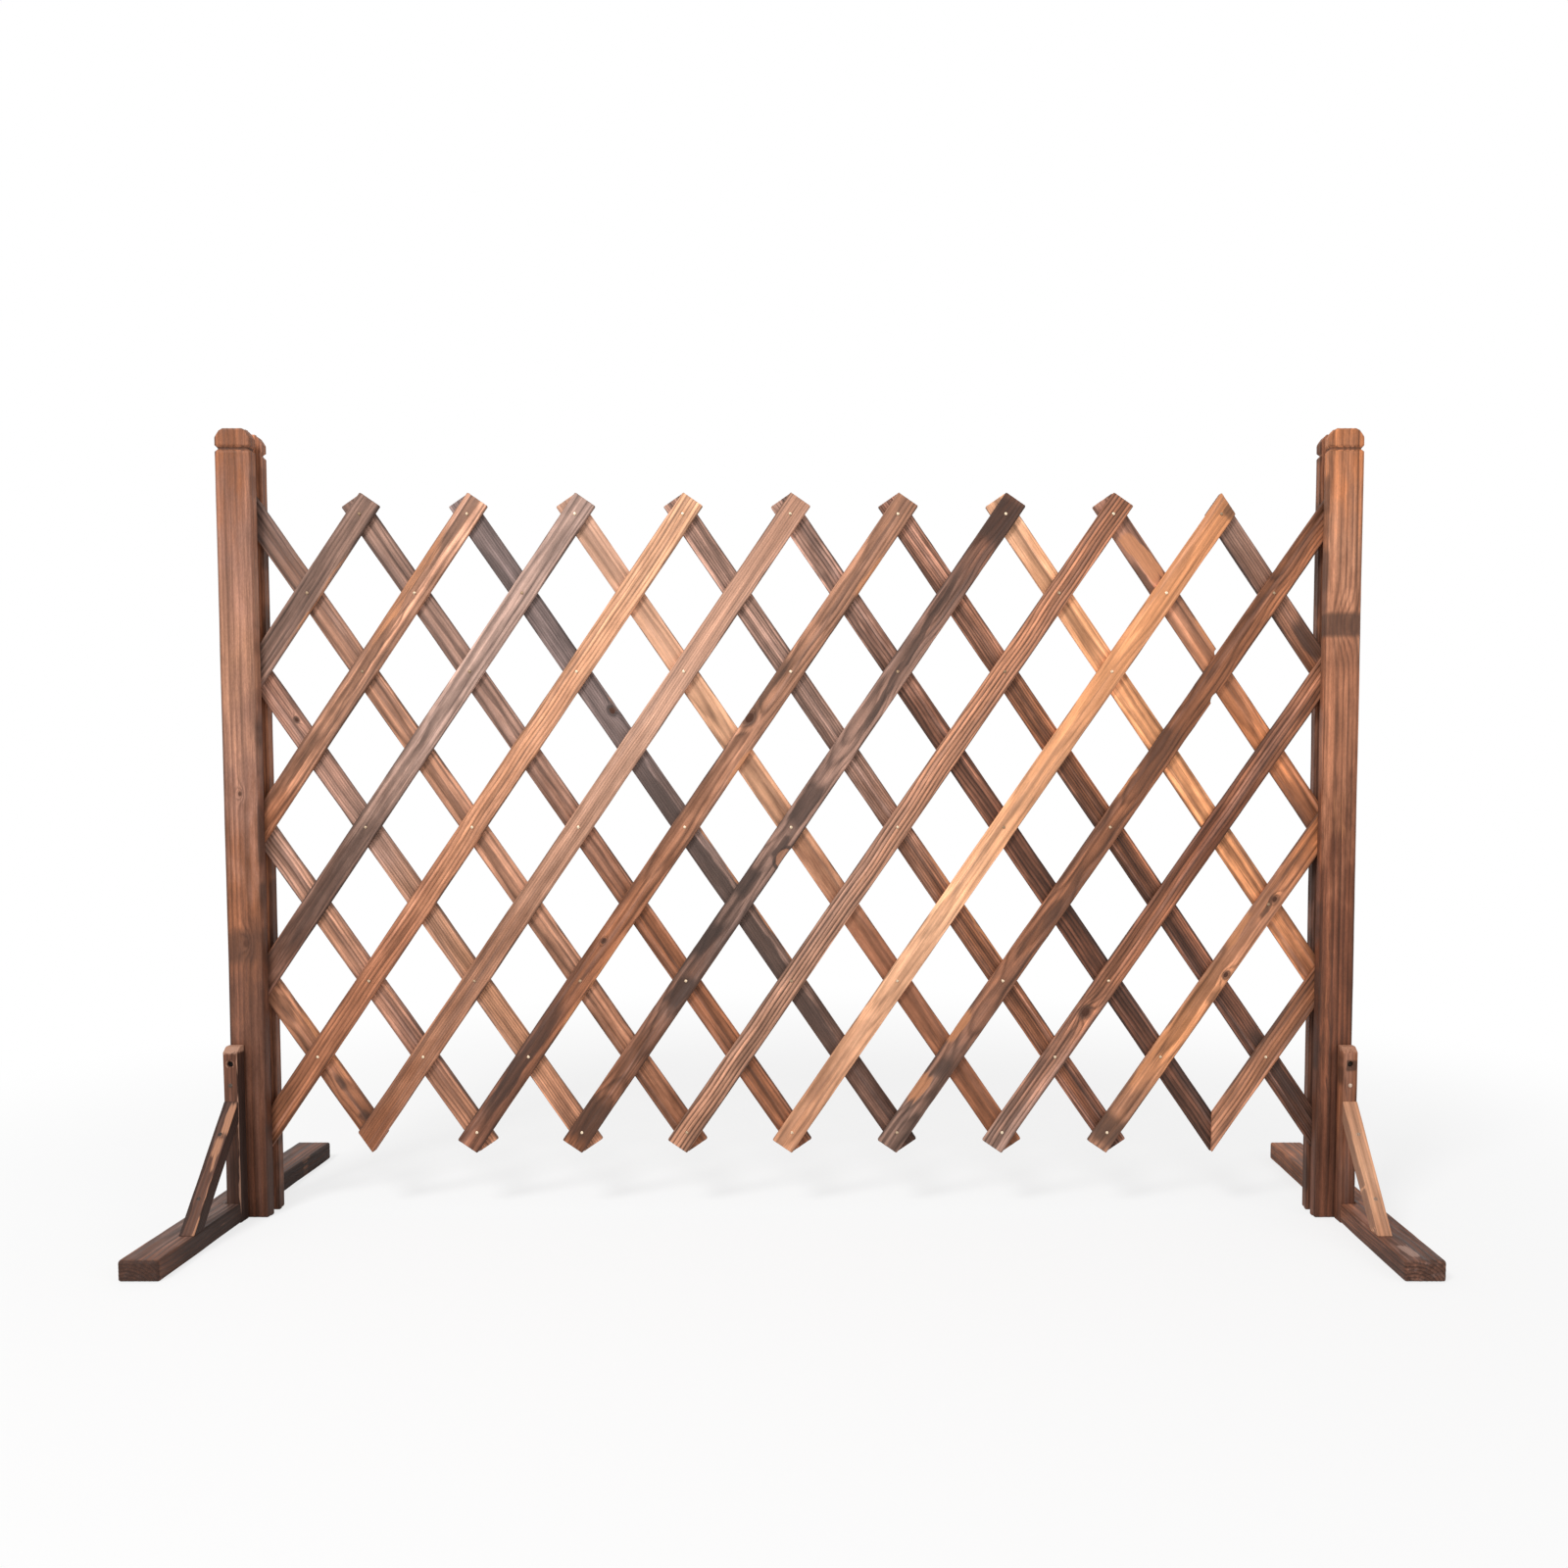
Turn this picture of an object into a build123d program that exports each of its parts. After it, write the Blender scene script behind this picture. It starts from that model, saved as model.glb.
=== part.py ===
from build123d import *

import os
from math import cos, hypot, radians, sin, tan

# Expandable wooden fence, millimetres. Crossed laths, nailed where they cross, run from post to
# post. Their ends sit in a slot in each post, and each post stands in a foot.
# The fence stands in the plane y = 0 with its front towards -Y and its left post at -X. The
# origin is on the floor, halfway between the posts.

# The lattice, counted in half meshes: an even column or row holds the lath ends
COLUMNS = 20
ROWS = 8
lath_pitch = 120.0  # from one crossing to the next, along a lath
lath_lean = 34.5  # degrees from upright, as the fence stands open
lath_width = 31.0
lath_thickness = 6.0
lath_overhang = 23.0  # of a square end past its last crossing
lath_edge_radius = 1.0
lath_gap = 0.3  # between the front laths and the back laths
lattice_lift = 2.0  # of the lattice's middle above the middle of the posts

# The nails at the crossings, clenched behind
nail_radius = 1.25
nail_head_radius = 2.4
nail_head_height = 1.2
clench_radius = 2.2
clench_gap = 0.25  # behind the back lath, so that the crossing turns
pin_clearance = 0.05  # of a pin or nail in the hole that turns on it

# The posts: a front board and a back board with a spacer lath between them
post_height = 1000.0
board_width = 45.0
board_thickness = 15.5
board_edge_radius = 3.0
board_bottom_radius = 4.0
slot_clearance = 0.35  # past the nail heads that slide in the slot
pin_inset = 8.0  # of the post's pin from its inner face
spacer_clearance = 1.3  # past the farthest reach of a lath end
head_height = 25.0  # of the post above the middle of its groove
head_slope_width = 8.0
head_slope_height = 12.0
head_round_radius = 3.5
groove_height = 8.0
groove_depth = 3.0

# The pin that carries the lattice in each post, driven from behind
pin_radius = 2.0
pin_head_radius = 4.0
pin_head_height = 1.5
pin_bite = 10.0  # into the front board

# The nails that hold each post's boards together
post_nail_radius = 1.2
post_nail_head_radius = 2.6
post_nail_head_height = 1.0
post_nail_bite = 9.0  # into the front board
post_nail_count = 4
post_nail_margin = 60.0  # of the first and the last from the post's ends

# The feet: a plank under each post, and an upright with a brace in front of the post
plank_width = 48.0
plank_height = 25.0
plank_length = 460.0
plank_corner_radius = 7.0
plank_edge_radius = 4.0
upright_width = 19.0
upright_depth = 19.0
upright_height = 225.0
upright_slope_height = 7.0
upright_slope_depth = 9.0
upright_edge_radius = 2.0
brace_thickness = 18.0
brace_top = 157.0  # where its front face meets the upright
brace_foot_reach = 113.0  # of its front face from the upright, at the plank
brace_edge_radius = 1.5

# The screws and nails of the feet
screw_radius = 2.0
screw_head_radius = 3.6
screw_head_height = 2.2
screw_sink = 3.0  # of the head's top under the wood
screw_bite = 11.0
screw_below_top = 21.0  # on the upright
side_screw_bite = 17.0
foot_nail_radius = 1.25
foot_nail_head_radius = 2.6
foot_nail_head_height = 1.0
foot_nail_sink = 0.4
foot_nail_bite = 12.0
upright_nail_below_screw = 27.0
brace_nail_below_top = 34.0
brace_nail_before_foot = 30.0  # from the brace's front foot edge back to its lower nail
fastener_fit = 0.05
hole_overrun = 60.0

LEFT = -1
RIGHT = 1
FRONT = 1
BACK = -1
LATHS = (COLUMNS + ROWS) // 2 - 1
MIDDLE_ROW = ROWS // 2

# Each kind of fastener: the radius and height of its head, and the radius of its shank
POST_PIN = (pin_head_radius, pin_head_height, pin_radius)
POST_NAIL = (post_nail_head_radius, post_nail_head_height, post_nail_radius)
SCREW = (screw_head_radius, screw_head_height, screw_radius)
FOOT_NAIL = (foot_nail_head_radius, foot_nail_head_height, foot_nail_radius)

# Crossings with a nail: every even one up to the last full mesh, and a few more at the lattice's
# edges, where the laths are short. The two pairs in each slot join lath ends that nothing else holds.
BARE_CROSSINGS = [(2, 0)]
FIELD_NAILS = [(column, row) for column in range(2, COLUMNS - 2, 2) for row in range(0, ROWS + 1, 2)]
EDGE_COLUMNS = (1, 3, 5, COLUMNS - 5, COLUMNS - 3, COLUMNS - 1)
EDGE_NAILS = [(column, row) for row in (1, ROWS - 1) for column in EDGE_COLUMNS]
EDGE_NAILS += [(COLUMNS - 1, 3), (COLUMNS - 2, ROWS)]
SLOT_NAILS = [(column, row) for column in (0, COLUMNS) for row in (2, ROWS - 2)]
NAILED = [place for place in FIELD_NAILS if place not in BARE_CROSSINGS] + EDGE_NAILS + SLOT_NAILS
PINNED = [(0, MIDDLE_ROW), (COLUMNS, MIDDLE_ROW)]

# Lath ends that aren't square: pointed ones follow the edge of the lath that they cross, and a
# mitred one is cut upright through the crossing
POINTED_LOW = [(FRONT, 5), (BACK, 1), (BACK, 9)]
POINTED_HIGH = [(FRONT, 9), (BACK, 13)]
MITRED_LOW = [(FRONT, 13)]

# Places that follow from the sizes above
half_width = lath_width / 2
half_gap = lath_gap / 2
half_slot = half_gap + lath_thickness + nail_head_height + slot_clearance
half_depth = half_slot + board_thickness
column_step = lath_pitch * sin(radians(lath_lean))
row_step = lath_pitch * cos(radians(lath_lean))
pin_x = COLUMNS / 2 * column_step
lattice_z = post_height / 2 + lattice_lift
post_inner_x = pin_x - pin_inset
post_outer_x = post_inner_x + board_width
spacer_width = board_width - pin_inset - hypot(lath_overhang, half_width) - spacer_clearance
clench_height = nail_head_height - clench_gap
upright_inner_x = post_outer_x - upright_width
plank_outer_x = upright_inner_x + plank_width
upright_front_y = -half_depth - upright_depth
board_middle_y = half_slot + board_thickness / 2
brace_slope = brace_foot_reach / (brace_top - plank_height)
pin_length = board_thickness + 2 * half_slot + pin_bite
post_nail_length = board_thickness + 2 * half_slot + post_nail_bite


def crossing(column, row):
    """X and Z of a crossing of the lattice."""
    return (column - COLUMNS / 2) * column_step, lattice_z + (row - ROWS / 2) * row_step


def lath_ends(side, number):
    """The low and the high end crossing of a lath, as (column, row)."""
    reach = 2 * number
    if side == FRONT:
        low = (max(0, reach - ROWS), max(0, ROWS - reach))
        high = (min(COLUMNS, reach), ROWS + min(0, COLUMNS - reach))
    else:
        low = (min(COLUMNS, reach), max(0, reach - COLUMNS))
        high = (max(0, reach - ROWS), min(ROWS, reach))
    return low, high


def lath_front_y(side):
    """Where the front face of a front or a back lath lies."""
    return -half_gap - lath_thickness if side == FRONT else half_gap


def end_reach(shaped, mitred):
    """How far a lath's end reaches past its last crossing, along its far and its near edge."""
    if not shaped:
        return lath_overhang, lath_overhang
    far = half_width / tan(radians(lath_lean))
    near = -far if mitred else half_width * tan(radians(lath_lean))
    return far, near


def on_lath(side, number, places):
    """Those of some crossings that lie on one lath, as distances from its low end crossing."""
    low, high = lath_ends(side, number)
    found = []
    for column, row in places:
        across = column - low[0] - side * (row - low[1])
        if across == 0 and low[1] <= row <= high[1]:
            found.append((row - low[1]) * lath_pitch)
    return found


def build_lath(side, number):
    """One lath, in the front or the back layer, with the holes that its nails go through."""
    low, high = lath_ends(side, number)
    low_x, low_z = crossing(*low)
    length = (high[1] - low[1]) * lath_pitch
    along = (side * column_step, 0, row_step)
    face = Plane(origin=(low_x, lath_front_y(side), low_z), x_dir=along, z_dir=(0, -1, 0))
    name = (side, number)
    low_far, low_near = end_reach(name in POINTED_LOW + MITRED_LOW, name in MITRED_LOW)
    high_far, high_near = end_reach(name in POINTED_HIGH, False)
    far_low = (-low_far, -side * half_width)
    near_high = (length + high_near, -side * half_width)
    far_high = (length + high_far, side * half_width)
    near_low = (-low_near, side * half_width)
    with BuildPart() as lath:
        with BuildSketch(face):
            with BuildLine():
                Polyline(far_low, near_high, far_high, near_low, close=True)
            make_face()
        extrude(amount=-lath_thickness)
        fillet(lath.edges(), lath_edge_radius)
        for places, radius in ((NAILED, nail_radius), (PINNED, pin_radius)):
            distances = on_lath(side, number, places)
            spots = [face.location * Location((distance, 0, 0)) for distance in distances]
            if spots:
                with Locations(*spots):
                    Hole(radius + pin_clearance)
    return lath.part


def build_lath_nail():
    """A nail of the lattice on the Y axis: a domed head in front and its clenched end behind."""
    face_y = lath_front_y(FRONT)
    clench_y = half_gap + lath_thickness + clench_gap
    with BuildPart() as nail:
        with BuildSketch():
            with BuildLine():
                dome = ThreePointArc(
                    (0, face_y - nail_head_height),
                    (nail_head_radius * sin(radians(45)), face_y - nail_head_height * cos(radians(45))),
                    (nail_head_radius, face_y),
                )
                Polyline(
                    dome @ 1,
                    (nail_radius, face_y),
                    (nail_radius, clench_y),
                    (clench_radius, clench_y),
                    (clench_radius, clench_y + clench_height),
                    (0, clench_y + clench_height),
                    dome @ 0,
                )
            make_face()
        revolve(axis=Axis.Y)
    return nail.part


def build_lath_nails(number, nail):
    """The nails that sit in one front lath."""
    low_x, low_z = crossing(*lath_ends(FRONT, number)[0])
    lean = radians(lath_lean)
    spots = []
    for distance in on_lath(FRONT, number, NAILED):
        spots.append((low_x + distance * sin(lean), 0, low_z + distance * cos(lean)))
    with BuildPart() as nails:
        with Locations(*spots):
            add(nail)
    return nails.part


def fastener(plane, size, length):
    """A headed fastener: its head's underside on the plane, its shank on the plane's far side."""
    head_radius, head_height, shank_radius = size
    with BuildPart(plane) as piece:
        Cylinder(head_radius, head_height, align=(Align.CENTER, Align.CENTER, Align.MIN))
        Cylinder(shank_radius, length, align=(Align.CENTER, Align.CENTER, Align.MAX))
    return piece.part


def fastener_hole(plane, size, length):
    """What a fastener's hole takes away, open above its head."""
    head_radius, _, shank_radius = size
    hole_size = (head_radius + fastener_fit, hole_overrun, shank_radius + fastener_fit)
    return fastener(plane, hole_size, length)


def post_fasteners(side):
    """The pin and the nails of one post, driven from behind: each one's plane, size and length."""
    pin_plane = Plane(origin=(side * pin_x, half_depth, lattice_z), z_dir=(0, 1, 0))
    found = [(pin_plane, POST_PIN, pin_length)]
    nail_x = side * (post_outer_x - spacer_width / 2)
    step = (post_height - 2 * post_nail_margin) / (post_nail_count - 1)
    for index in range(post_nail_count):
        nail_plane = Plane(origin=(nail_x, half_depth, post_nail_margin + index * step), z_dir=(0, 1, 0))
        found.append((nail_plane, POST_NAIL, post_nail_length))
    return found


def foot_fasteners(side):
    """The screws and the nails of one foot: each one's plane, size and length."""
    middle_x = side * (post_outer_x - upright_width / 2)
    screw_seat = screw_sink + screw_head_height
    screw_z = upright_height - screw_below_top
    nail_z = screw_z - upright_nail_below_screw
    nail_seat = foot_nail_sink + foot_nail_head_radius
    top_seat = brace_nail_below_top * brace_slope - nail_seat
    low_seat = (brace_nail_before_foot - nail_seat) / brace_slope
    from_front = [
        (screw_z, -screw_seat, SCREW, upright_depth - screw_seat + screw_bite),
        (nail_z, -foot_nail_sink, FOOT_NAIL, upright_depth - foot_nail_sink + foot_nail_bite),
        (brace_top - brace_nail_below_top, top_seat, FOOT_NAIL, top_seat + foot_nail_bite),
    ]
    found = []
    for z, proud, size, length in from_front:
        plane = Plane(origin=(middle_x, upright_front_y - proud, z), z_dir=(0, -1, 0))
        found.append((plane, size, length))
    low_y = upright_front_y - brace_foot_reach + brace_nail_before_foot
    low_plane = Plane(origin=(middle_x, low_y, plank_height + low_seat), z_dir=(0, 0, 1))
    found.append((low_plane, FOOT_NAIL, low_seat + foot_nail_bite))
    side_x = side * (plank_outer_x - screw_seat)
    side_length = plank_width - upright_width - screw_seat + side_screw_bite
    for y in (-board_middle_y, board_middle_y):
        plane = Plane(origin=(side_x, y, plank_height / 2), z_dir=(side, 0, 0))
        found.append((plane, SCREW, side_length))
    return found


def build_fasteners(fasteners):
    """Some fasteners as one group of separate solids."""
    with BuildPart() as group:
        for plane, size, length in fasteners:
            add(fastener(plane, size, length))
    return group.part


def drill(fasteners):
    """Takes the holes of some fasteners out of the part being built."""
    for plane, size, length in fasteners:
        add(fastener_hole(plane, size, length), mode=Mode.SUBTRACT)


def build_board(side, layer):
    """The front or the back board of a post, with its shaped head, groove and holes."""
    middle_x = side * (post_inner_x + post_outer_x) / 2
    half_board = board_width / 2
    groove_z = post_height - head_height
    slope_z = post_height - head_slope_height
    right_edge = [
        (half_board, 0),
        (half_board, groove_z - groove_height / 2),
        (half_board - groove_depth, groove_z),
        (half_board, groove_z + groove_height / 2),
        (half_board, slope_z),
        (half_board - head_slope_width, post_height),
    ]
    left_edge = [(-x, z) for x, z in reversed(right_edge)]
    middle_y = -layer * board_middle_y
    outer_y = -layer * half_depth
    with BuildPart() as board:
        with BuildSketch() as section:
            with Locations((middle_x, middle_y)):
                Rectangle(board_width, board_thickness)
            fillet(section.vertices().group_by(Axis.Y)[0 if layer == FRONT else -1], board_edge_radius)
        extrude(amount=post_height)
        seen_from_front = Plane(origin=(middle_x, middle_y, 0), x_dir=(1, 0, 0), z_dir=(0, -1, 0))
        with BuildSketch(seen_from_front) as outline:
            with BuildLine():
                Polyline(*right_edge, *left_edge, close=True)
            make_face()
            fillet(outline.vertices().group_by(Axis.Y)[0], board_bottom_radius)
            fillet(outline.vertices().group_by(Axis.Y)[-1], head_round_radius)
        extrude(amount=board_thickness, both=True, mode=Mode.INTERSECT)
        with BuildSketch(Plane.YZ.offset(middle_x - board_width)):
            with BuildLine():
                Polyline(
                    (outer_y - layer * groove_depth, groove_z - groove_height),
                    (outer_y + layer * groove_depth, groove_z),
                    (outer_y - layer * groove_depth, groove_z + groove_height),
                    close=True,
                )
            make_face()
        extrude(amount=2 * board_width, mode=Mode.SUBTRACT)
        drill(foot_fasteners(side) + post_fasteners(side))
    return board.part


def build_spacer(side):
    """The lath that closes a post's slot along its outer side."""
    middle_x = side * (post_outer_x - spacer_width / 2)
    with BuildPart() as spacer:
        with BuildSketch() as section:
            with Locations((middle_x, 0)):
                Rectangle(spacer_width, 2 * half_slot)
        extrude(amount=post_height - head_slope_height)
        drill(post_fasteners(side))
    return spacer.part


def build_plank(side):
    """The plank of one foot, notched on its inner side for the post and the upright."""
    middle_x = side * (plank_outer_x - plank_width / 2)
    notch_x = side * (post_outer_x - upright_width / 2)
    notch_length = 2 * half_depth + upright_depth
    notch_y = half_depth - notch_length / 2
    with BuildPart() as plank:
        with BuildSketch() as outline:
            with Locations((middle_x, 0)):
                Rectangle(plank_width, plank_length)
            fillet(outline.vertices(), plank_corner_radius)
        extrude(amount=plank_height)
        fillet(plank.faces().sort_by(Axis.Z)[-1].edges(), plank_edge_radius)
        with BuildSketch():
            with Locations((notch_x, notch_y)):
                Rectangle(upright_width, notch_length)
        extrude(amount=plank_height, mode=Mode.SUBTRACT)
        drill(foot_fasteners(side))
    return plank.part


def build_upright(side):
    """The square batten on a post's front face, with its top sloped to the front."""
    middle_x = side * (post_outer_x - upright_width / 2)
    with BuildPart() as upright:
        with BuildSketch(Plane.YZ.offset(middle_x - upright_width / 2)):
            with BuildLine():
                Polyline(
                    (-half_depth, 0),
                    (-half_depth, upright_height),
                    (-half_depth - upright_depth + upright_slope_depth, upright_height),
                    (upright_front_y, upright_height - upright_slope_height),
                    (upright_front_y, 0),
                    close=True,
                )
            make_face()
        extrude(amount=upright_width)
        front_edges = upright.faces().sort_by(Axis.Y)[0].edges().filter_by(Axis.Z)
        fillet(front_edges, upright_edge_radius)
        drill(foot_fasteners(side))
    return upright.part


def build_brace(side):
    """The sloping batten from the upright down to the front of the plank."""
    middle_x = side * (post_outer_x - upright_width / 2)
    rise = brace_top - plank_height
    face_length = hypot(rise, brace_foot_reach)
    drop = brace_thickness * face_length / brace_foot_reach
    draw = brace_thickness * face_length / rise
    foot_y = upright_front_y - brace_foot_reach
    with BuildPart() as brace:
        with BuildSketch(Plane.YZ.offset(middle_x - upright_width / 2)):
            with BuildLine():
                Polyline(
                    (upright_front_y, brace_top),
                    (foot_y, plank_height),
                    (foot_y + draw, plank_height),
                    (upright_front_y, brace_top - drop),
                    close=True,
                )
            make_face()
        extrude(amount=upright_width)
        sloped = brace.edges().filter_by(GeomType.LINE).sort_by(Edge.length)[-4:]
        fillet(sloped, brace_edge_radius)
        drill(foot_fasteners(side))
    return brace.part


def save(part, name):
    """Labels a finished piece and writes it."""
    part.label = name
    export_step(part, "parts/" + name + ".step")


os.makedirs("parts", exist_ok=True)
lath_nail = build_lath_nail()
for number in range(1, LATHS + 1):
    save(build_lath(FRONT, number), "front_lath_%02d" % number)
    save(build_lath(BACK, number), "back_lath_%02d" % number)
    save(build_lath_nails(number, lath_nail), "lath_nails_%02d" % number)
for side, side_name in ((LEFT, "left"), (RIGHT, "right")):
    save(build_board(side, FRONT), side_name + "_front_board")
    save(build_board(side, BACK), side_name + "_back_board")
    save(build_spacer(side), side_name + "_spacer")
    save(build_fasteners(post_fasteners(side)[:1]), side_name + "_post_pin")
    save(build_fasteners(post_fasteners(side)[1:]), side_name + "_post_nails")
    save(build_plank(side), side_name + "_foot_plank")
    save(build_upright(side), side_name + "_foot_upright")
    save(build_brace(side), side_name + "_foot_brace")
    save(build_fasteners(foot_fasteners(side)), side_name + "_foot_fasteners")
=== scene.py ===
"""Looks of the expandable wooden fence: scorched laths, posts and feet, and a plain studio."""

import logging
import math
from dataclasses import dataclass
from enum import Enum
from typing import Optional, Union

import bpy
import numpy as np
from mathutils import Euler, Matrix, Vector


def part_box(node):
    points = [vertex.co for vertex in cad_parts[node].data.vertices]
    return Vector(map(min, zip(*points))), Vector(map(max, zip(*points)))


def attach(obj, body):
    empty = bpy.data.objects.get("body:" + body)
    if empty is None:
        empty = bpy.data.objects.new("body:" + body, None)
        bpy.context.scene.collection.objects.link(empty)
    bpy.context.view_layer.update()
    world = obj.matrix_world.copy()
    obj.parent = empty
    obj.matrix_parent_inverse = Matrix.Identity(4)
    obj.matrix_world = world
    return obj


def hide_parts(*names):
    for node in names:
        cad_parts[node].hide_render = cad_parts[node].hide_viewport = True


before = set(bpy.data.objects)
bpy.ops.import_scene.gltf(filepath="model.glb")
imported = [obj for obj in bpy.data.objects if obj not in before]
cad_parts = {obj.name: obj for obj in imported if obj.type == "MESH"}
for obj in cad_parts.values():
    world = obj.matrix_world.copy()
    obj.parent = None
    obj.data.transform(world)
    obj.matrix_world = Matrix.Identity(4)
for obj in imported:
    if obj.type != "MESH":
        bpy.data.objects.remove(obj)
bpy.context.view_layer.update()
LOG = logging.getLogger("fence")

UPWARD = Vector((0.0, 0.0, 1.0))
FORWARD = Vector((0.0, -1.0, 0.0))
WHITE = (1.0, 1.0, 1.0, 1.0)

Array = np.ndarray
Colour = tuple[float, float, float]
Pair = tuple[float, float]
Crossing = tuple[int, int]
Key = Union[int, str]
Form = tuple[list[Vector], list[tuple[int, ...]]]
Setting = Union[str, int, float, bool, list]


class Side(Enum):
    """The two posts, by the sign of their X."""

    LEFT = -1
    RIGHT = 1


class Layer(Enum):
    """The two layers of laths, and of boards: the sign is the way a lath leans."""

    FRONT = 1
    BACK = -1


LathName = tuple[Layer, int]


class Stain(Enum):
    """Tones of the scorched and stained wood, as display colours from 0 to 255."""

    COCOA = (118, 78, 60)
    UMBER = (90, 60, 47)
    SMOKE = (110, 86, 76)
    ASH = (138, 107, 93)
    SLATE = (126, 107, 102)
    MAUVE = (158, 122, 106)
    PALE_MAUVE = (188, 154, 139)
    RUSSET = (142, 90, 62)
    CHESTNUT = (160, 105, 77)
    COPPER = (186, 117, 76)
    TAN = (172, 123, 97)
    ROSE_TAN = (188, 140, 115)
    PALE_ROSE = (212, 164, 138)
    AMBER = (214, 144, 98)
    HONEY = (212, 152, 116)
    PALE_HONEY = (226, 170, 133)
    BARK = (102, 64, 47)
    COAL = (70, 60, 56)
    JET = (38, 32, 31)
    DRIFT = (156, 112, 93)
    CLAY = (184, 128, 98)
    RUST = (120, 72, 50)
    BUFF = (242, 184, 144)
    APRICOT = (252, 176, 124)

    @property
    def linear(self) -> Colour:
        """The tone as a linear colour."""
        return tuple(to_linear(channel / 255) for channel in self.value)


def tones(words: str) -> tuple[Stain, ...]:
    """The stains that some words name, in their order."""
    return tuple(Stain[word] for word in words.split())


def to_linear(channel: float) -> float:
    """Turns a display channel into a linear one, by the usual display curve.

    Args:
        channel: the display value, from 0 to 1.

    Returns:
        The linear value.
    """
    if channel <= 0.04045:
        return channel / 12.92
    return ((channel + 0.055) / 1.055) ** 2.4


class Mask(Enum):
    """The numbers that a mesh gives its points, for its material to read by name."""

    RINGS = "rings"
    TONE = "tone"
    # Scorch, and painted shade in holes, grooves, along edges and on shaded sides.
    CHAR = "char"
    # Wear, and painted highlights along lit edges and on a sheen.
    WEAR = "wear"
    KNOT = "knot"
    # Stains of the metal, and painted shade on the sunk screws.
    STAINED = "stained"


class Noise(Enum):
    """The noises: how fine along the grain, how fine across it, and how many octaves."""

    BAND = (1.6, 85.0, 2.0)
    COOL = (2.6, 130.0, 2.0)
    STREAK = (6.0, 230.0, 3.0)
    BLOTCH = (18.0, 60.0, 3.0)
    FIBRE = (34.0, 800.0, 3.0)
    SPECK = (280.0, 800.0, 2.0)
    TARNISH = (900.0, 900.0, 3.0)


class Value:
    """A number that changes over a surface: an output socket with Python's operators."""

    def __init__(self, graph: "Graph", socket: bpy.types.NodeSocket) -> None:
        """Wraps a socket.

        Args:
            graph: the graph that the socket is in.
            socket: the output socket.
        """
        self.graph = graph
        self.socket = socket

    def _math(self, operation: str, first: "Term", second: "Term") -> "Value":
        """Adds a Math node and returns its result."""
        return self.graph.node("ShaderNodeMath", {"operation": operation}, {0: first, 1: second})

    def __add__(self, other: "Term") -> "Value":
        """self + other."""
        return self._math("ADD", self, other)

    def __radd__(self, other: "Term") -> "Value":
        """other + self."""
        return self._math("ADD", other, self)

    def __sub__(self, other: "Term") -> "Value":
        """self - other."""
        return self._math("SUBTRACT", self, other)

    def __rsub__(self, other: "Term") -> "Value":
        """other - self."""
        return self._math("SUBTRACT", other, self)

    def __mul__(self, other: "Term") -> "Value":
        """self * other."""
        return self._math("MULTIPLY", self, other)

    def __rmul__(self, other: "Term") -> "Value":
        """other * self."""
        return self._math("MULTIPLY", other, self)

    def __rpow__(self, other: "Term") -> "Value":
        """other ** self."""
        return self._math("POWER", other, self)


Term = Union[Value, float]


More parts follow.
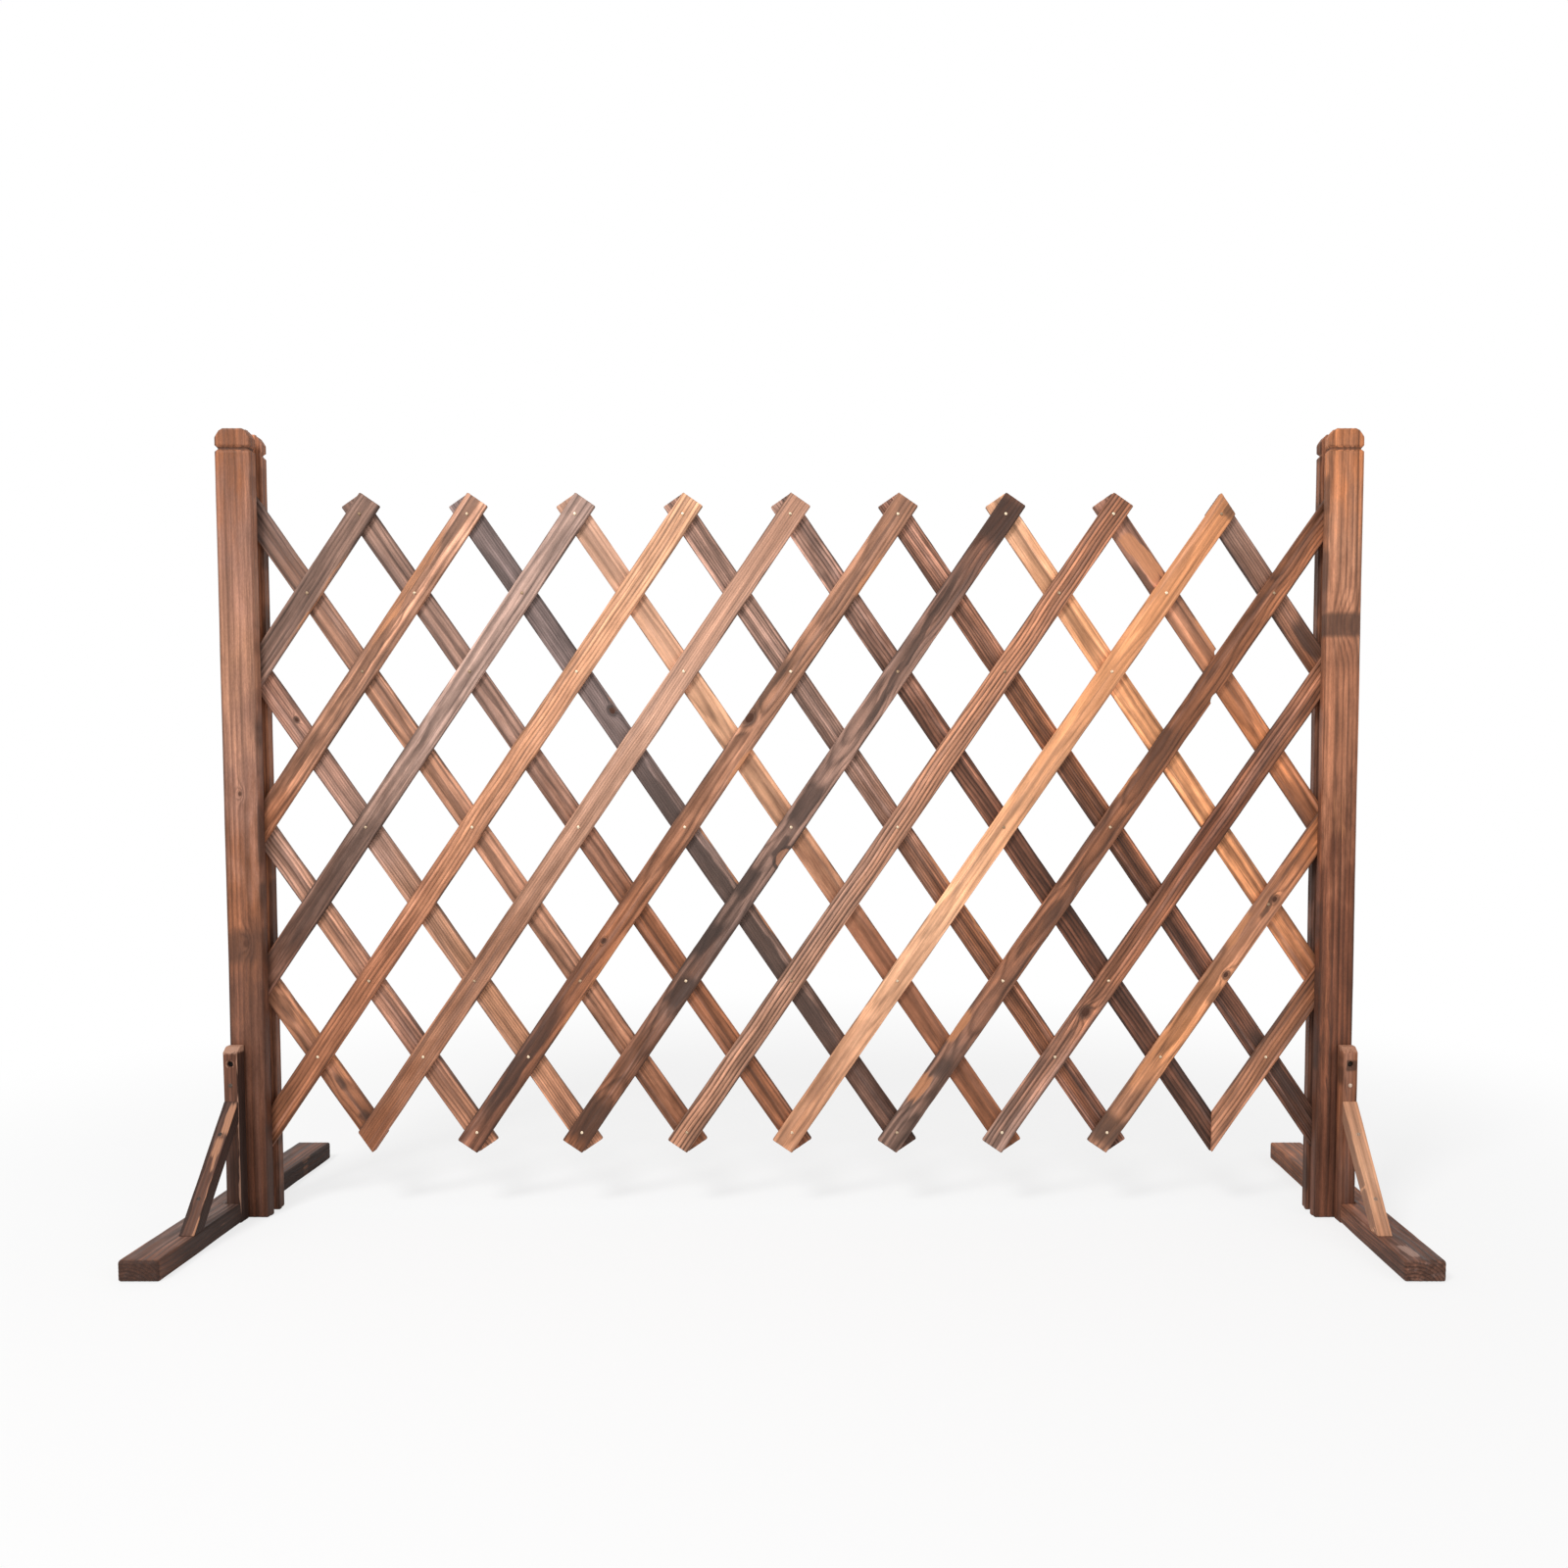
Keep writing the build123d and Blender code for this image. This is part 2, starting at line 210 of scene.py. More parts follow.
class Graph:
    """The node tree of a material or of the world."""

    def __init__(self, owner: Union[bpy.types.Material, bpy.types.World]) -> None:
        """Starts with an empty tree.

        Args:
            owner: the material or the world.
        """
        owner.use_nodes = True
        self.owner = owner
        self.tree = owner.node_tree
        self.tree.nodes.clear()

    def node(
        self, kind: str, settings: dict[str, Setting], inputs: dict[Key, Union[Term, tuple]],
        output: Key = 0,
    ) -> Value:
        """Adds one node.

        Args:
            kind: the node's type.
            settings: its settings, set first; "stops" are a ramp's positions and colours.
            inputs: values or links of its sockets, by name or number.
            output: the output to return, by name or number.

        Returns:
            The output as a value.
        """
        made = self.tree.nodes.new(kind)
        for key, setting in settings.items():
            if key == "stops":
                self._set_stops(made.color_ramp, setting)
            else:
                setattr(made, key, setting)
        for key, term in inputs.items():
            if isinstance(term, Value):
                self.tree.links.new(term.socket, made.inputs[key])
            else:
                made.inputs[key].default_value = term
        return Value(self, made.outputs[output] if made.outputs else None)

    def _set_stops(self, ramp: bpy.types.ColorRamp, stops: list[tuple[float, Colour]]) -> None:
        """Gives a ramp its stops.

        Args:
            ramp: the ramp.
            stops: its positions and colours.
        """
        while len(ramp.elements) > 1:
            ramp.elements.remove(ramp.elements[-1])
        for index, (position, colour) in enumerate(stops):
            element = ramp.elements[0] if index == 0 else ramp.elements.new(position)
            element.position = position
            element.color = (*colour, 1.0)

    def mask(self, mask: Mask) -> Value:
        """Reads one of the mesh's masks."""
        return self.node("ShaderNodeAttribute", {"attribute_name": mask.value}, {}, "Fac")

    def shaded(self, colour: Value, factor: Term) -> Value:
        """Makes a colour lighter or darker by a factor."""
        inputs = {0: colour, "Scale": factor}
        return self.node("ShaderNodeVectorMath", {"operation": "SCALE"}, inputs)

    def swing(self, place: Value, noise: Noise) -> Value:
        """Adds a noise texture that swings round zero.

        Args:
            place: where it is read.
            noise: which noise it is.

        Returns:
            The noise, mostly between -1 and 1.
        """
        along, across, octaves = noise.value
        inputs = {0: place, 1: (along, across, across)}
        scaled = self.node("ShaderNodeVectorMath", {"operation": "MULTIPLY"}, inputs)
        inputs = {"Vector": scaled, "Scale": 1.0, "Detail": octaves, "Roughness": 0.6}
        return 4.0 * (self.node("ShaderNodeTexNoise", {}, inputs, "Fac") - 0.5)

    def ramp(self, value: Value, stops: list[tuple[float, Colour]]) -> Value:
        """Sends a number through a colour ramp."""
        return self.node("ShaderNodeValToRGB", {"stops": stops}, {0: value})

    def curve(self, value: Value, low: float, high: float) -> Value:
        """Turns a number into a soft mask: 0 below low, 1 above high."""
        inputs = {"Value": value, "From Min": low, "From Max": high}
        return self.node("ShaderNodeMapRange", {"interpolation_type": "SMOOTHSTEP"}, inputs)

    def mix(self, factor: Term, first: Union[Value, Colour], second: Union[Value, Colour]) -> Value:
        """Mixes two colours.

        Args:
            factor: the share of the second.
            first: the first colour.
            second: the second colour.

        Returns:
            The mixed colour.
        """
        pair = [
            colour if isinstance(colour, Value) else (*colour, 1.0) for colour in (first, second)
        ]
        inputs = {0: factor, 6: pair[0], 7: pair[1]}
        return self.node("ShaderNodeMix", {"data_type": "RGBA"}, inputs, 2)

    def finish(
        self, shader: Value, kind: str = "ShaderNodeOutputMaterial"
    ) -> Union[bpy.types.Material, bpy.types.World]:
        """Ends the graph with a surface shader and returns the material or the world."""
        self.node(kind, {}, {"Surface": shader})
        return self.owner


@dataclass(frozen=True)
class WoodFinish:
    """Brushed, scorched and stained softwood.

    Attributes:
        stains: the tones from the piece's low end to its high end; their lightening towards the
            high end is partly the wood's own tone and partly painted light, brighter higher up.
        contrast: how much darker the late wood is than the early wood.
        streaks: how strong the uneven streaks along the grain are.
        soot: how much of the surface is scorched, without its marks.
        worn: its tone where it is worn, and of its painted highlights.
        char: its tone where it is scorched, and where shade is painted.
        cool: how grey its cooler streaks are.
        specks: how strong its fine specks are.
    """

    stains: tuple[Stain, ...]
    contrast: float = 0.6
    streaks: float = 0.55
    soot: float = 0.1
    worn: Stain = Stain.AMBER
    char: Stain = Stain.COAL
    cool: float = 0.3
    specks: float = 0.1

    def material(self, name: str) -> bpy.types.Material:
        """Builds the material.

        Args:
            name: the material's name.

        Returns:
            The wood, whose grain follows the mesh's growth rings.
        """
        g = Graph(bpy.data.materials.new(name))
        grain = g.node("ShaderNodeAttribute", {"attribute_name": "grain"}, {}, "Vector")
        noises = (Noise.BAND, Noise.BLOTCH, Noise.STREAK, Noise.FIBRE, Noise.SPECK, Noise.COOL)
        band, blotch, streak, fibre, speck, chill = (g.swing(grain, noise) for noise in noises)

        rings = g.mask(Mask.RINGS) + 0.1 * fibre + 0.1 * streak
        phase = g.node("ShaderNodeMath", {"operation": "FRACT"}, {0: rings})
        darkness = ((0.0, 0.25), (0.14, 0.0), (0.52, 0.18), (0.8, 1.0), (0.9, 0.85), (1.0, 0.25))
        late = g.ramp(phase, [(place, (dark,) * 3) for place, dark in darkness])

        last = max(1, len(self.stains) - 1)
        stops = [(index / last, stain.linear) for index, stain in enumerate(self.stains)]
        tone = g.ramp(g.mask(Mask.TONE) + 0.08 * blotch, stops)
        tone = g.mix(self.cool * g.curve(chill, -0.1, 1.0), tone, Stain.SLATE.linear)
        uneven = self.streaks * (1.5 * band + 1.5 * streak + 0.9 * blotch)
        light = self.contrast * (0.5 - 1.5 * late) + uneven + 0.16 * fibre + self.specks * speck
        wood = g.shaded(tone, 2.0**light)

        soot = self.soot * (0.9 + 1.2 * band)
        # Darkened where scorched, and where painted shade lies: in the screw holes, across the
        # posts' grooves, along the long edges and on the shaded sides of the left foot.
        scorch_and_shade = g.curve(g.mask(Mask.CHAR) + soot + 0.15 * streak, 0.35, 0.95)
        burnt_and_shaded = g.shaded(g.mix(0.25, self.char.linear, tone), 0.62 * 2.0 ** (0.5 * fibre))
        wood = g.mix(0.8 * scorch_and_shade, wood, burnt_and_shaded)
        # Lightened where worn, and where a painted highlight lies along a lit edge or on a sheen.
        worn = g.curve(g.mask(Mask.WEAR) + 0.22 * streak + 0.16 * fibre, 0.4, 0.85)
        pale = g.shaded(g.mix(0.3, self.worn.linear, tone), 2.0 ** (0.3 * fibre))
        wood = g.mix(0.85 * worn, wood, pale)
        knot = g.curve(g.mask(Mask.KNOT) + 0.1 * fibre, 0.15, 0.7)
        wood = g.mix(0.95 * knot, wood, tuple(0.6 * channel for channel in Stain.BARK.linear))

        height = 0.2 * fibre + 0.25 * streak + 0.5 * late + 0.05 * speck
        bump = g.node("ShaderNodeBump", {}, {"Height": height, "Strength": 0.7, "Distance": 0.0005})
        inputs = {
            "Base Color": wood, "Roughness": 0.6 + 0.06 * streak - 0.1 * late + 0.12 * scorch_and_shade,
            "Normal": bump, "Specular IOR Level": 0.25,
        }
        return g.finish(g.node("ShaderNodeBsdfPrincipled", {}, inputs))


@dataclass(frozen=True)
class MetalFinish:
    """Metal of the nails and screws: bright, stained, and on the sunk screws darkened as the
    painted shade of their holes.

    Attributes:
        name: the material's name.
        colour: its colour as display values from 0 to 1.
        tarnish: the colour of its dull spots.
        roughness: how rough it is.
    """

    name: str
    colour: Colour
    tarnish: Colour
    roughness: float

    def material(self) -> bpy.types.Material:
        """Builds the material.

        Returns:
            The metal, with dull spots.
        """
        g = Graph(bpy.data.materials.new(self.name))
        place = g.node("ShaderNodeTexCoord", {}, {}, "Object")
        stained = g.mask(Mask.STAINED)
        dull = g.curve(g.swing(place, Noise.TARNISH) + 2.0 * stained, -0.2, 0.8)
        ends = [tuple(to_linear(part) for part in colour) for colour in (self.colour, self.tarnish)]
        inputs = {
            # Stained metal is darkened; on the sunk screws, whose mask is full, this darkening is
            # painted shade.
            "Base Color": g.shaded(g.mix(dull, *ends), 1.0 - 0.9 * stained),
            "Metallic": 0.8 - 0.4 * dull, "Roughness": self.roughness + 0.25 * dull,
        }
        return g.finish(g.node("ShaderNodeBsdfPrincipled", {}, inputs))


@dataclass(frozen=True)
class Growth:
    """How the tree grew: where its pith lies from the piece's own middle line, and its rings.

    Attributes:
        pith: how far the pith lies across the piece and behind its face.
        spacing: the width of one year's ring.
        tilt: how much the pith draws away in each metre, across and behind.
        wave: how far the grain wanders.
        wave_length: how long one wander is.
    """

    pith: Pair = (0.012, 0.03)
    spacing: float = 0.0036
    tilt: Pair = (0.004, 0.006)
    wave: float = 0.0012
    wave_length: float = 0.4


class Cut(Enum):
    """How the saw met the rings: the growth that each way of sawing shows."""

    STRAIGHT = Growth(pith=(0.06, 0.012), spacing=0.0032)
    STRIPED = Growth(pith=(0.045, 0.02), spacing=0.0046, wave=0.0016)
    MIDDLE = Growth(pith=(0.001, 0.014), spacing=0.0042, tilt=(0.003, 0.004))
    FLAT = Growth(pith=(0.004, 0.026), spacing=0.0038, tilt=(0.002, 0.016), wave=0.002)
    WILD = Growth((-0.008, 0.022), 0.004, (0.022, 0.012), wave=0.004, wave_length=0.3)


def smooth(value: Array) -> Array:
    """A soft step of numbers from 0 to 1."""
    held = np.clip(value, 0.0, 1.0)
    return held * held * (3.0 - 2.0 * held)


def bell(value: Array, width: float) -> Array:
    """A soft hump: 1 where the value is 0, and near 0 two widths away."""
    return np.exp(-((value / width) ** 2))


def ripple(rng: np.random.Generator, place: Array, length: float, terms: int = 4) -> Array:
    """A smooth random line.

    Args:
        rng: where the random numbers come from.
        place: where it is read, in metres.
        length: its longest wave, in metres.
        terms: how many waves it has.

    Returns:
        Numbers from about -1 to 1.
    """
    total = np.zeros_like(place)
    for term in range(terms):
        turn = math.tau * (1.7**term) * rng.uniform(0.8, 1.25) / length
        total += np.sin(place * turn + rng.uniform(0.0, math.tau)) / (term + 1)
    return total / 1.6


@dataclass(frozen=True)
class Knot:
    """A knot in a piece of wood, in metres along it and across its face.

    Attributes:
        along: its distance from the piece's low end.
        across: its distance from the middle line.
        radius: its radius.
        sunk: how far its middle lies below the face.
        tint: how dark it is.
        stretch: how much longer it is along the grain than across it.
        lines: places of the grid lines that give it its form, in radii from its middle.
    """

    along: float
    across: float
    radius: float = 0.004
    sunk: float = 0.0006
    tint: float = 1.0
    stretch: float = 1.35
    lines: tuple[float, ...] = (0.0, 0.3, 0.6, 0.9, 1.2, 1.5, 1.9, 2.6)

    def away(self, points: Array) -> Array:
        """How far each point is from the knot's middle, in radii."""
        along = (points[:, 0] - self.along) / self.stretch
        return np.hypot(along, points[:, 1] - self.across) / self.radius

    def led(self, points: Array) -> Array:
        """How many rings the grain is led round the knot by.

        Args:
            points: the points in the piece's own axes.

        Returns:
            A number for each point.
        """
        near = ((points[:, 0] - self.along) / (3.2 * self.radius)) ** 2
        near += ((points[:, 1] - self.across) / (1.6 * self.radius)) ** 2
        return 2.2 * np.exp(-near)

    def hollow(self, points: Array) -> Array:
        """How deep the knot and its rim are sunk."""
        away = self.away(points)
        return 0.5 * self.sunk * (1.0 - smooth(away - 0.4)) + self.sunk * bell(away - 1.0, 0.35)

    def grid(self) -> list[float]:
        """Places of grid lines along the piece."""
        reach = self.stretch * self.radius
        return [self.along + reach * sign * line for line in self.lines for sign in (-1, 1)]


class Facing(Enum):
    """The face that a mark keeps to, by its axis and its sign."""

    FRONT = (2, 1)
    HIGH = (1, 1)
    LOW = (1, -1)


@dataclass(frozen=True)
class Mark:
    """A long soft mark, such as a scorched streak, a worn place, a painted shade or a painted
    highlight.

    Attributes:
        kind: the mask that it is painted in.
        along: where it begins and ends, from the piece's low end.
        across: the places across the face that it runs between, as shares of the half width.
        strength: how strong it is.
        drift: how far it moves across from its beginning to its end, as shares of the half width.
        facing: the face that it keeps to, or None for all of them.
        fade: how long its ends fade, as a share of its length.
    """

    kind: Mask
    along: Pair
    across: Pair
    strength: float
    drift: float
    facing: Optional[Facing]
    fade: float = 0.35

    def paint(self, rng: np.random.Generator, u: Array, share: Array, normal: Array) -> Array:
        """How strongly each point is marked.

        Args:
            rng: where the random numbers come from.
            u: where the points are along the piece.
            share: where they are across it, as shares of the half width.
            normal: their outward directions.

        Returns:
            A number for each point.
        """
        (low, high), (left, right) = self.along, self.across
        fade = self.fade * (high - low)
        mask = smooth((u - low) / fade) * smooth((high - u) / fade)
        shift = 0.12 * ripple(rng, u, 0.09)
        shift = shift - self.drift * np.clip((u - low) / (high - low), 0.0, 1.0)
        edge = min(0.25, 0.5 * (right - left))
        mask *= smooth((share + shift - left) / edge) * smooth((right - share - shift) / edge)
        if self.facing:
            axis, sign = self.facing.value
            mask *= smooth(1.6 * sign * normal[:, axis])
        return self.strength * mask


def scorched_and_shaded(
    low: float, high: float, left: float = -1.4, right: float = 1.4, strength: float = 0.8,
    facing: Optional[Facing] = None, drift: float = 0.0,
) -> Mark:
    """A dark streak: scorched, and on some faces painted shade."""
    return Mark(Mask.CHAR, (low, high), (left, right), strength, drift, facing)


def rubbed_and_highlit(
    low: float, high: float, left: float = -1.4, right: float = 1.4, strength: float = 0.8,
    facing: Optional[Facing] = None, drift: float = 0.0,
) -> Mark:
    """A pale streak: worn, and on some edges a painted highlight."""
    return Mark(Mask.WEAR, (low, high), (left, right), strength, drift, facing)


@dataclass(frozen=True)
class Bite:
    """A place where the edge has broken away.

    Attributes:
        along: where its middle is, from the piece's low end.
        edge: the edge, 1 or -1.
        depth: how deep it goes.
        length: how long it is.
        scar: how far the broken face reaches in from the edge, or 0 for a clean break.
        hollow: how far the broken face lies below the face.
    """

    along: float
    edge: int
    depth: float
    length: float
    scar: float = 0.0
    hollow: float = 0.0013

    def cut(self, place: Array) -> Array:
        """How deep the edge is cut at each place along the piece."""
        reach = np.abs(place - self.along) / (self.length / 2)
        return self.depth * np.sqrt(np.clip(1.0 - reach**2, 0.0, 1.0))

    def torn(self, points: Array, normal: Array, half_width: float) -> tuple[Array, Array]:
        """Where the face is broken, and where the rim of the break is.

        Args:
            points: the points in the piece's own axes.
            normal: their outward directions.
            half_width: half of the piece's width.

        Returns:
            Two numbers from 0 to 1 for each point.
        """
        inward = (half_width - self.edge * points[:, 1]) / max(self.scar, 1e-6)
        away = np.hypot((points[:, 0] - self.along) / (self.length / 2), inward)
        face = np.clip(normal[:, 2], 0.0, 1.0)
        return face * (1.0 - smooth((away - 0.8) / 0.2)), face * bell(away - 1.0, 0.16)

    def grid(self) -> list[float]:
        """Places of grid lines along the piece."""
        return [self.along + self.length / 2 * share for share in np.linspace(-1.2, 1.2, 25)]


@dataclass(frozen=True)
class Hole:
    """A sunk hole over a screw head.

    Attributes:
        along: where it is, from the piece's low end.
        radius: its radius.
        depth: how deep it goes.
        axis: the axis that it is sunk along, 1 for v and 2 for w.
        sign: the side that it opens to.
        rim: how worn its rim is.
        lines: places of the grid lines that give it its form, in radii from its middle.
    """

    along: float
    radius: float
    depth: float
    axis: int = 2
    # rim: how pale its rim is, as wear and as a painted highlight.
    sign: int = 1
    rim: float = 0.0
    lines: tuple[float, ...] = (-1.3, -1.0, -0.7, -0.35, 0.0, 0.35, 0.7, 1.0, 1.3)

    def distance(self, points: Array) -> Array:
        """How far each point is from the hole's axis."""
        return np.hypot(points[:, 0] - self.along, points[:, 3 - self.axis])

    def on_face(self, normal: Array) -> Array:
        """Which points are on the face that the hole is in."""
        return normal[:, self.axis] * self.sign > 0.9

    def gather(self, points: Array, normal: Array) -> Array:
        """Draws the points near the rim onto it, so that the rim is round.

        Args:
            points: the points in the piece's own axes.
            normal: their outward directions.

        Returns:
            The moved points.
        """
        away = self.distance(points)
        inner = (away > 0.66 * self.radius) & (away <= self.radius)
        outer = (away > self.radius) & (away <= 1.34 * self.radius)
        wanted = np.where(inner, 0.97, 1.03) * self.radius
        drawn = (inner | outer) & self.on_face(normal)
        factor = np.where(drawn, wanted / np.maximum(away, 1e-9), 1.0)
        moved = points.copy()
        moved[:, 0] = self.along + (points[:, 0] - self.along) * factor
        moved[:, 3 - self.axis] = points[:, 3 - self.axis] * factor
        return moved

    def inside(self, points: Array, normal: Array) -> Array:
        """Which points are in the hole, as numbers."""
        return ((self.distance(points) < self.radius) & self.on_face(normal)).astype(float)

    def pale_rim(self, points: Array, normal: Array) -> Array:
        """How pale each point near the rim is, as wear and as a painted highlight."""
        ring = bell(self.distance(points) / self.radius - 1.3, 0.22)
        return self.rim * ring * self.on_face(normal)

    def grid(self, middle: float = 0.0) -> tuple[float, ...]:
        """Places of grid lines round a middle."""
        return tuple(middle + self.radius * line for line in self.lines)


@dataclass(frozen=True)
class Look(WoodFinish):
    """What one piece looks like: its finish, its grain, and what has happened to it.

    Attributes:
        cut: how it was sawn, for a lath.
        knots: its knots.
        marks: its marks.
        bites: where its edges have broken away.
    """

    cut: Cut = Cut.STRAIGHT
    knots: tuple[Knot, ...] = ()
    marks: tuple[Mark, ...] = ()
    bites: tuple[Bite, ...] = ()


def grid_lines(
    low: float, high: float, step: float, radius: float, extra: tuple[float, ...] = ()
) -> Array:
    """Places of grid lines, even in the middle and close at rounded ends.

    Args:
        low: the first line.
        high: the last line.
        step: the spacing in the middle.
        radius: the rounding at the ends.
        extra: more lines.

    Returns:
        The places, sorted, without lines that all but touch.
    """
    count = max(1, round((high - low - 2 * radius) / step))
    middle = np.linspace(low + radius, high - radius, count + 1)
    bends = 3 if radius < 0.0025 else 6
    turn = radius * (1.0 - np.tan(np.radians(np.linspace(45.0, 0.0, bends, endpoint=False))))
    lines = np.concatenate([low + turn, middle, high - turn, np.array(extra, float)])
    lines = np.unique(np.round(lines, 7))
    keep = np.concatenate([[True], np.diff(lines) > 1e-5])
    return lines[keep]


def box_surface(counts: tuple[int, int, int]) -> tuple[Array, Array]:
    """The points and faces on the surface of a box of grid lines.

    Args:
        counts: how many grid lines there are each way.

    Returns:
        The grid place of each point, and four points for each face.
    """
    place = np.indices(counts)
    outer = np.zeros(counts, bool)
    for axis, count in enumerate(counts):
        outer |= (place[axis] == 0) | (place[axis] == count - 1)
    ids = np.full(counts, -1)
    ids[outer] = np.arange(outer.sum())
    sides = (
        (ids[:, :, -1], False), (ids[:, :, 0], True), (ids[:, 0, :], False),
        (ids[:, -1, :], True), (ids[-1, :, :], False), (ids[0, :, :], True),
    )
    faces = []
    for sheet, turned in sides:
        corners = (sheet[:-1, :-1], sheet[1:, :-1], sheet[1:, 1:], sheet[:-1, 1:])
        quads = np.stack(corners, axis=-1).reshape(-1, 4)
        faces.append(quads[:, ::-1] if turned else quads)
    return np.argwhere(outer), np.concatenate(faces)


def make_mesh(
    name: str, points: Union[Array, list], faces: Union[Array, list]
) -> bpy.types.Object:
    """Makes a smooth object of points and faces.

    Args:
        name: the object's name.
        points: the points, in metres.
        faces: the points of each face.

    Returns:
        The object, in the scene.
    """
    mesh = bpy.data.meshes.new(name)
    places, corners = map(tuple, points), (tuple(map(int, face)) for face in faces)
    mesh.from_pydata(list(places), [], list(corners))
    mesh.polygons.foreach_set("use_smooth", np.ones(len(mesh.polygons), bool))
    mesh.update()
    made = bpy.data.objects.new(name, mesh)
    bpy.context.scene.collection.objects.link(made)
    return made


def add_mask(piece: bpy.types.Object, mask: Mask, values: Array) -> None:
    """Gives a piece's points a number each."""
    attribute = piece.data.attributes.new(mask.value, "FLOAT", "POINT")
    attribute.data.foreach_set("value", values.astype(np.float32))


def place_piece(
    piece: bpy.types.Object, body: str, node: str, slot: str, material: bpy.types.Material
) -> None:
    """Dresses a piece and puts it in its CAD node's place.

    Args:
        piece: the object.
        body: the body that it rides on.
        node: the CAD node that it stands for.
        slot: the record's material slot; it is not used.
        material: its material.
    """
    piece.data.materials.append(material)
    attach(piece, body)
    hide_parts(node)
    LOG.info("%s: %d faces on %s", piece.name, len(piece.data.polygons), body)


@dataclass
class Timber:
    """A piece of wood, built as a box of grid lines whose surface follows the grain.

    u runs along the grain from the low end, v across the face, and w out of the face.

    Attributes:
        node: the CAD node that it stands for.
        body: the body that it rides on.
        slot: the record's material slot.
        look: what it looks like.
        origin: where u, v and w are zero.
        along: the direction of u.
        outward: the direction of w.
        length: from the low end to the high end.
        width: across the face.
        depth: through the piece.
        seed: of its random numbers.
        growth: how its tree grew.
        edge_radius: of the long edges of the face.
        back_radius: of the long edges behind.
        end_radius: of the edges at the ends.
        steps: the grid's spacing along, across and through.
        extra_along: more grid lines along.
        extra_across: more grid lines across.
        extra_through: more grid lines through.
        relief: how deep the early wood is brushed out.
        wander: how far the long edges wander inwards.
        flat_spots: places along the middle line that stay flat, for nail heads.
        flat_reach: the radius of a flat spot, and how wide it fades.
        holes: its screw holes.
        edge_wear: how worn its long edges are.
        edge_char: how dark its long edges are painted, as scorch and as painted shade along them.
    """

    node: str
    body: str
    slot: str
    look: Look
    origin: Vector
    along: Vector
    outward: Vector
    length: float
    width: float
    depth: float
    seed: int
    growth: Growth = Growth()
    edge_radius: float = 0.001
    back_radius: float = 0.001
    end_radius: float = 0.001
    steps: tuple[float, float, float] = (0.009, 0.001, 0.0012)
    extra_along: tuple[float, ...] = ()
    extra_across: tuple[float, ...] = ()
    extra_through: tuple[float, ...] = ()
    relief: float = 0.0004
    wander: float = 0.0003
    flat_spots: tuple[float, ...] = ()
    flat_reach: Pair = (0.0025, 0.004)
    holes: tuple[Hole, ...] = ()
    edge_wear: float = 0.3
    edge_char: float = 0.65

    def random(self, stage: int) -> np.random.Generator:
        """The random numbers of one stage of the work."""
        return np.random.default_rng(self.seed + stage)

    def sides(self, u: Array) -> tuple[Array, Array, Array, Array]:
        """How far the piece reaches to each side.

        Args:
            u: places along the piece.

        Returns:
            Low v, high v, low w and high w at each of them.
        """
        half_v = np.full_like(u, self.width / 2)
        half_w = np.full_like(u, self.depth / 2)
        return -half_v, half_v, -half_w, half_w

    def ends(self, v: Array, w: Array) -> tuple[Array, Array]:
        """Where the low end and the high end lie, at each place across the piece."""
        return np.zeros_like(v), np.full_like(v, self.length)

    def middle_ends(self) -> Pair:
        """Where the low end and the high end lie on the middle line."""
        low, high = self.ends(np.zeros(1), np.zeros(1))
        return float(low[0]), float(high[0])

    def detail_lines(self) -> tuple[float, ...]:
        """Grid lines close enough to give the knots and the broken edges their form.

        Returns:
            Places of grid lines along the piece, before its ends are cut.
        """
        low, high = self.middle_ends()
        details = (*self.look.knots, *self.look.bites)
        places = [place for detail in details for place in detail.grid()]
        return tuple((place - low) / (high - low) * self.length for place in places)

    def shape(self, u: Array, v: Array, w: Array) -> tuple[Array, Array]:
        """Rounds the box and cuts its ends.

        Args:
            u: the grid's place along each point, in metres.
            v: the grid's place across, from -1 to 1.
            w: the grid's place through, from -1 to 1.

        Returns:
            The points in the piece's own axes, and their outward directions.
        """
        rng = self.random(0)
        v_low, v_high, w_low, w_high = self.sides(u)
        v_low = v_low + self.wander * np.maximum(0.0, 0.5 + 0.5 * ripple(rng, u, 0.31))
        v_high = v_high - self.wander * np.maximum(0.0, 0.5 + 0.5 * ripple(rng, u, 0.27))
        low, high = self.middle_ends()
        for bite in self.look.bites:
            cut = bite.cut(low + u / self.length * (high - low))
            v_high = v_high - cut * (bite.edge > 0)
            v_low = v_low + cut * (bite.edge < 0)
        v = (v_low + v_high) / 2 + v * (v_high - v_low) / 2
        radius = np.where(w >= 0.0, self.edge_radius, self.back_radius)
        w = (w_low + w_high) / 2 + w * (w_high - w_low) / 2
        end = np.full_like(u, self.end_radius)
        reach = np.stack([end, radius, radius], axis=1)
        lowest = np.stack([np.zeros_like(u), v_low, w_low], axis=1) + reach
        highest = np.stack([np.full_like(u, self.length), v_high, w_high], axis=1) - reach
        flat = np.stack([u, v, w], axis=1)
        core = np.clip(flat, lowest, highest)
        scaled = (flat - core) / reach
        size = np.linalg.norm(scaled, axis=1, keepdims=True)
        normal = scaled / np.maximum(size, 1e-9)
        points = core + normal * reach
        low, high = self.ends(points[:, 1], points[:, 2])
        points[:, 0] = low + points[:, 0] / self.length * (high - low)
        for hole in self.holes:
            points = hole.gather(points, normal)
        return points, normal

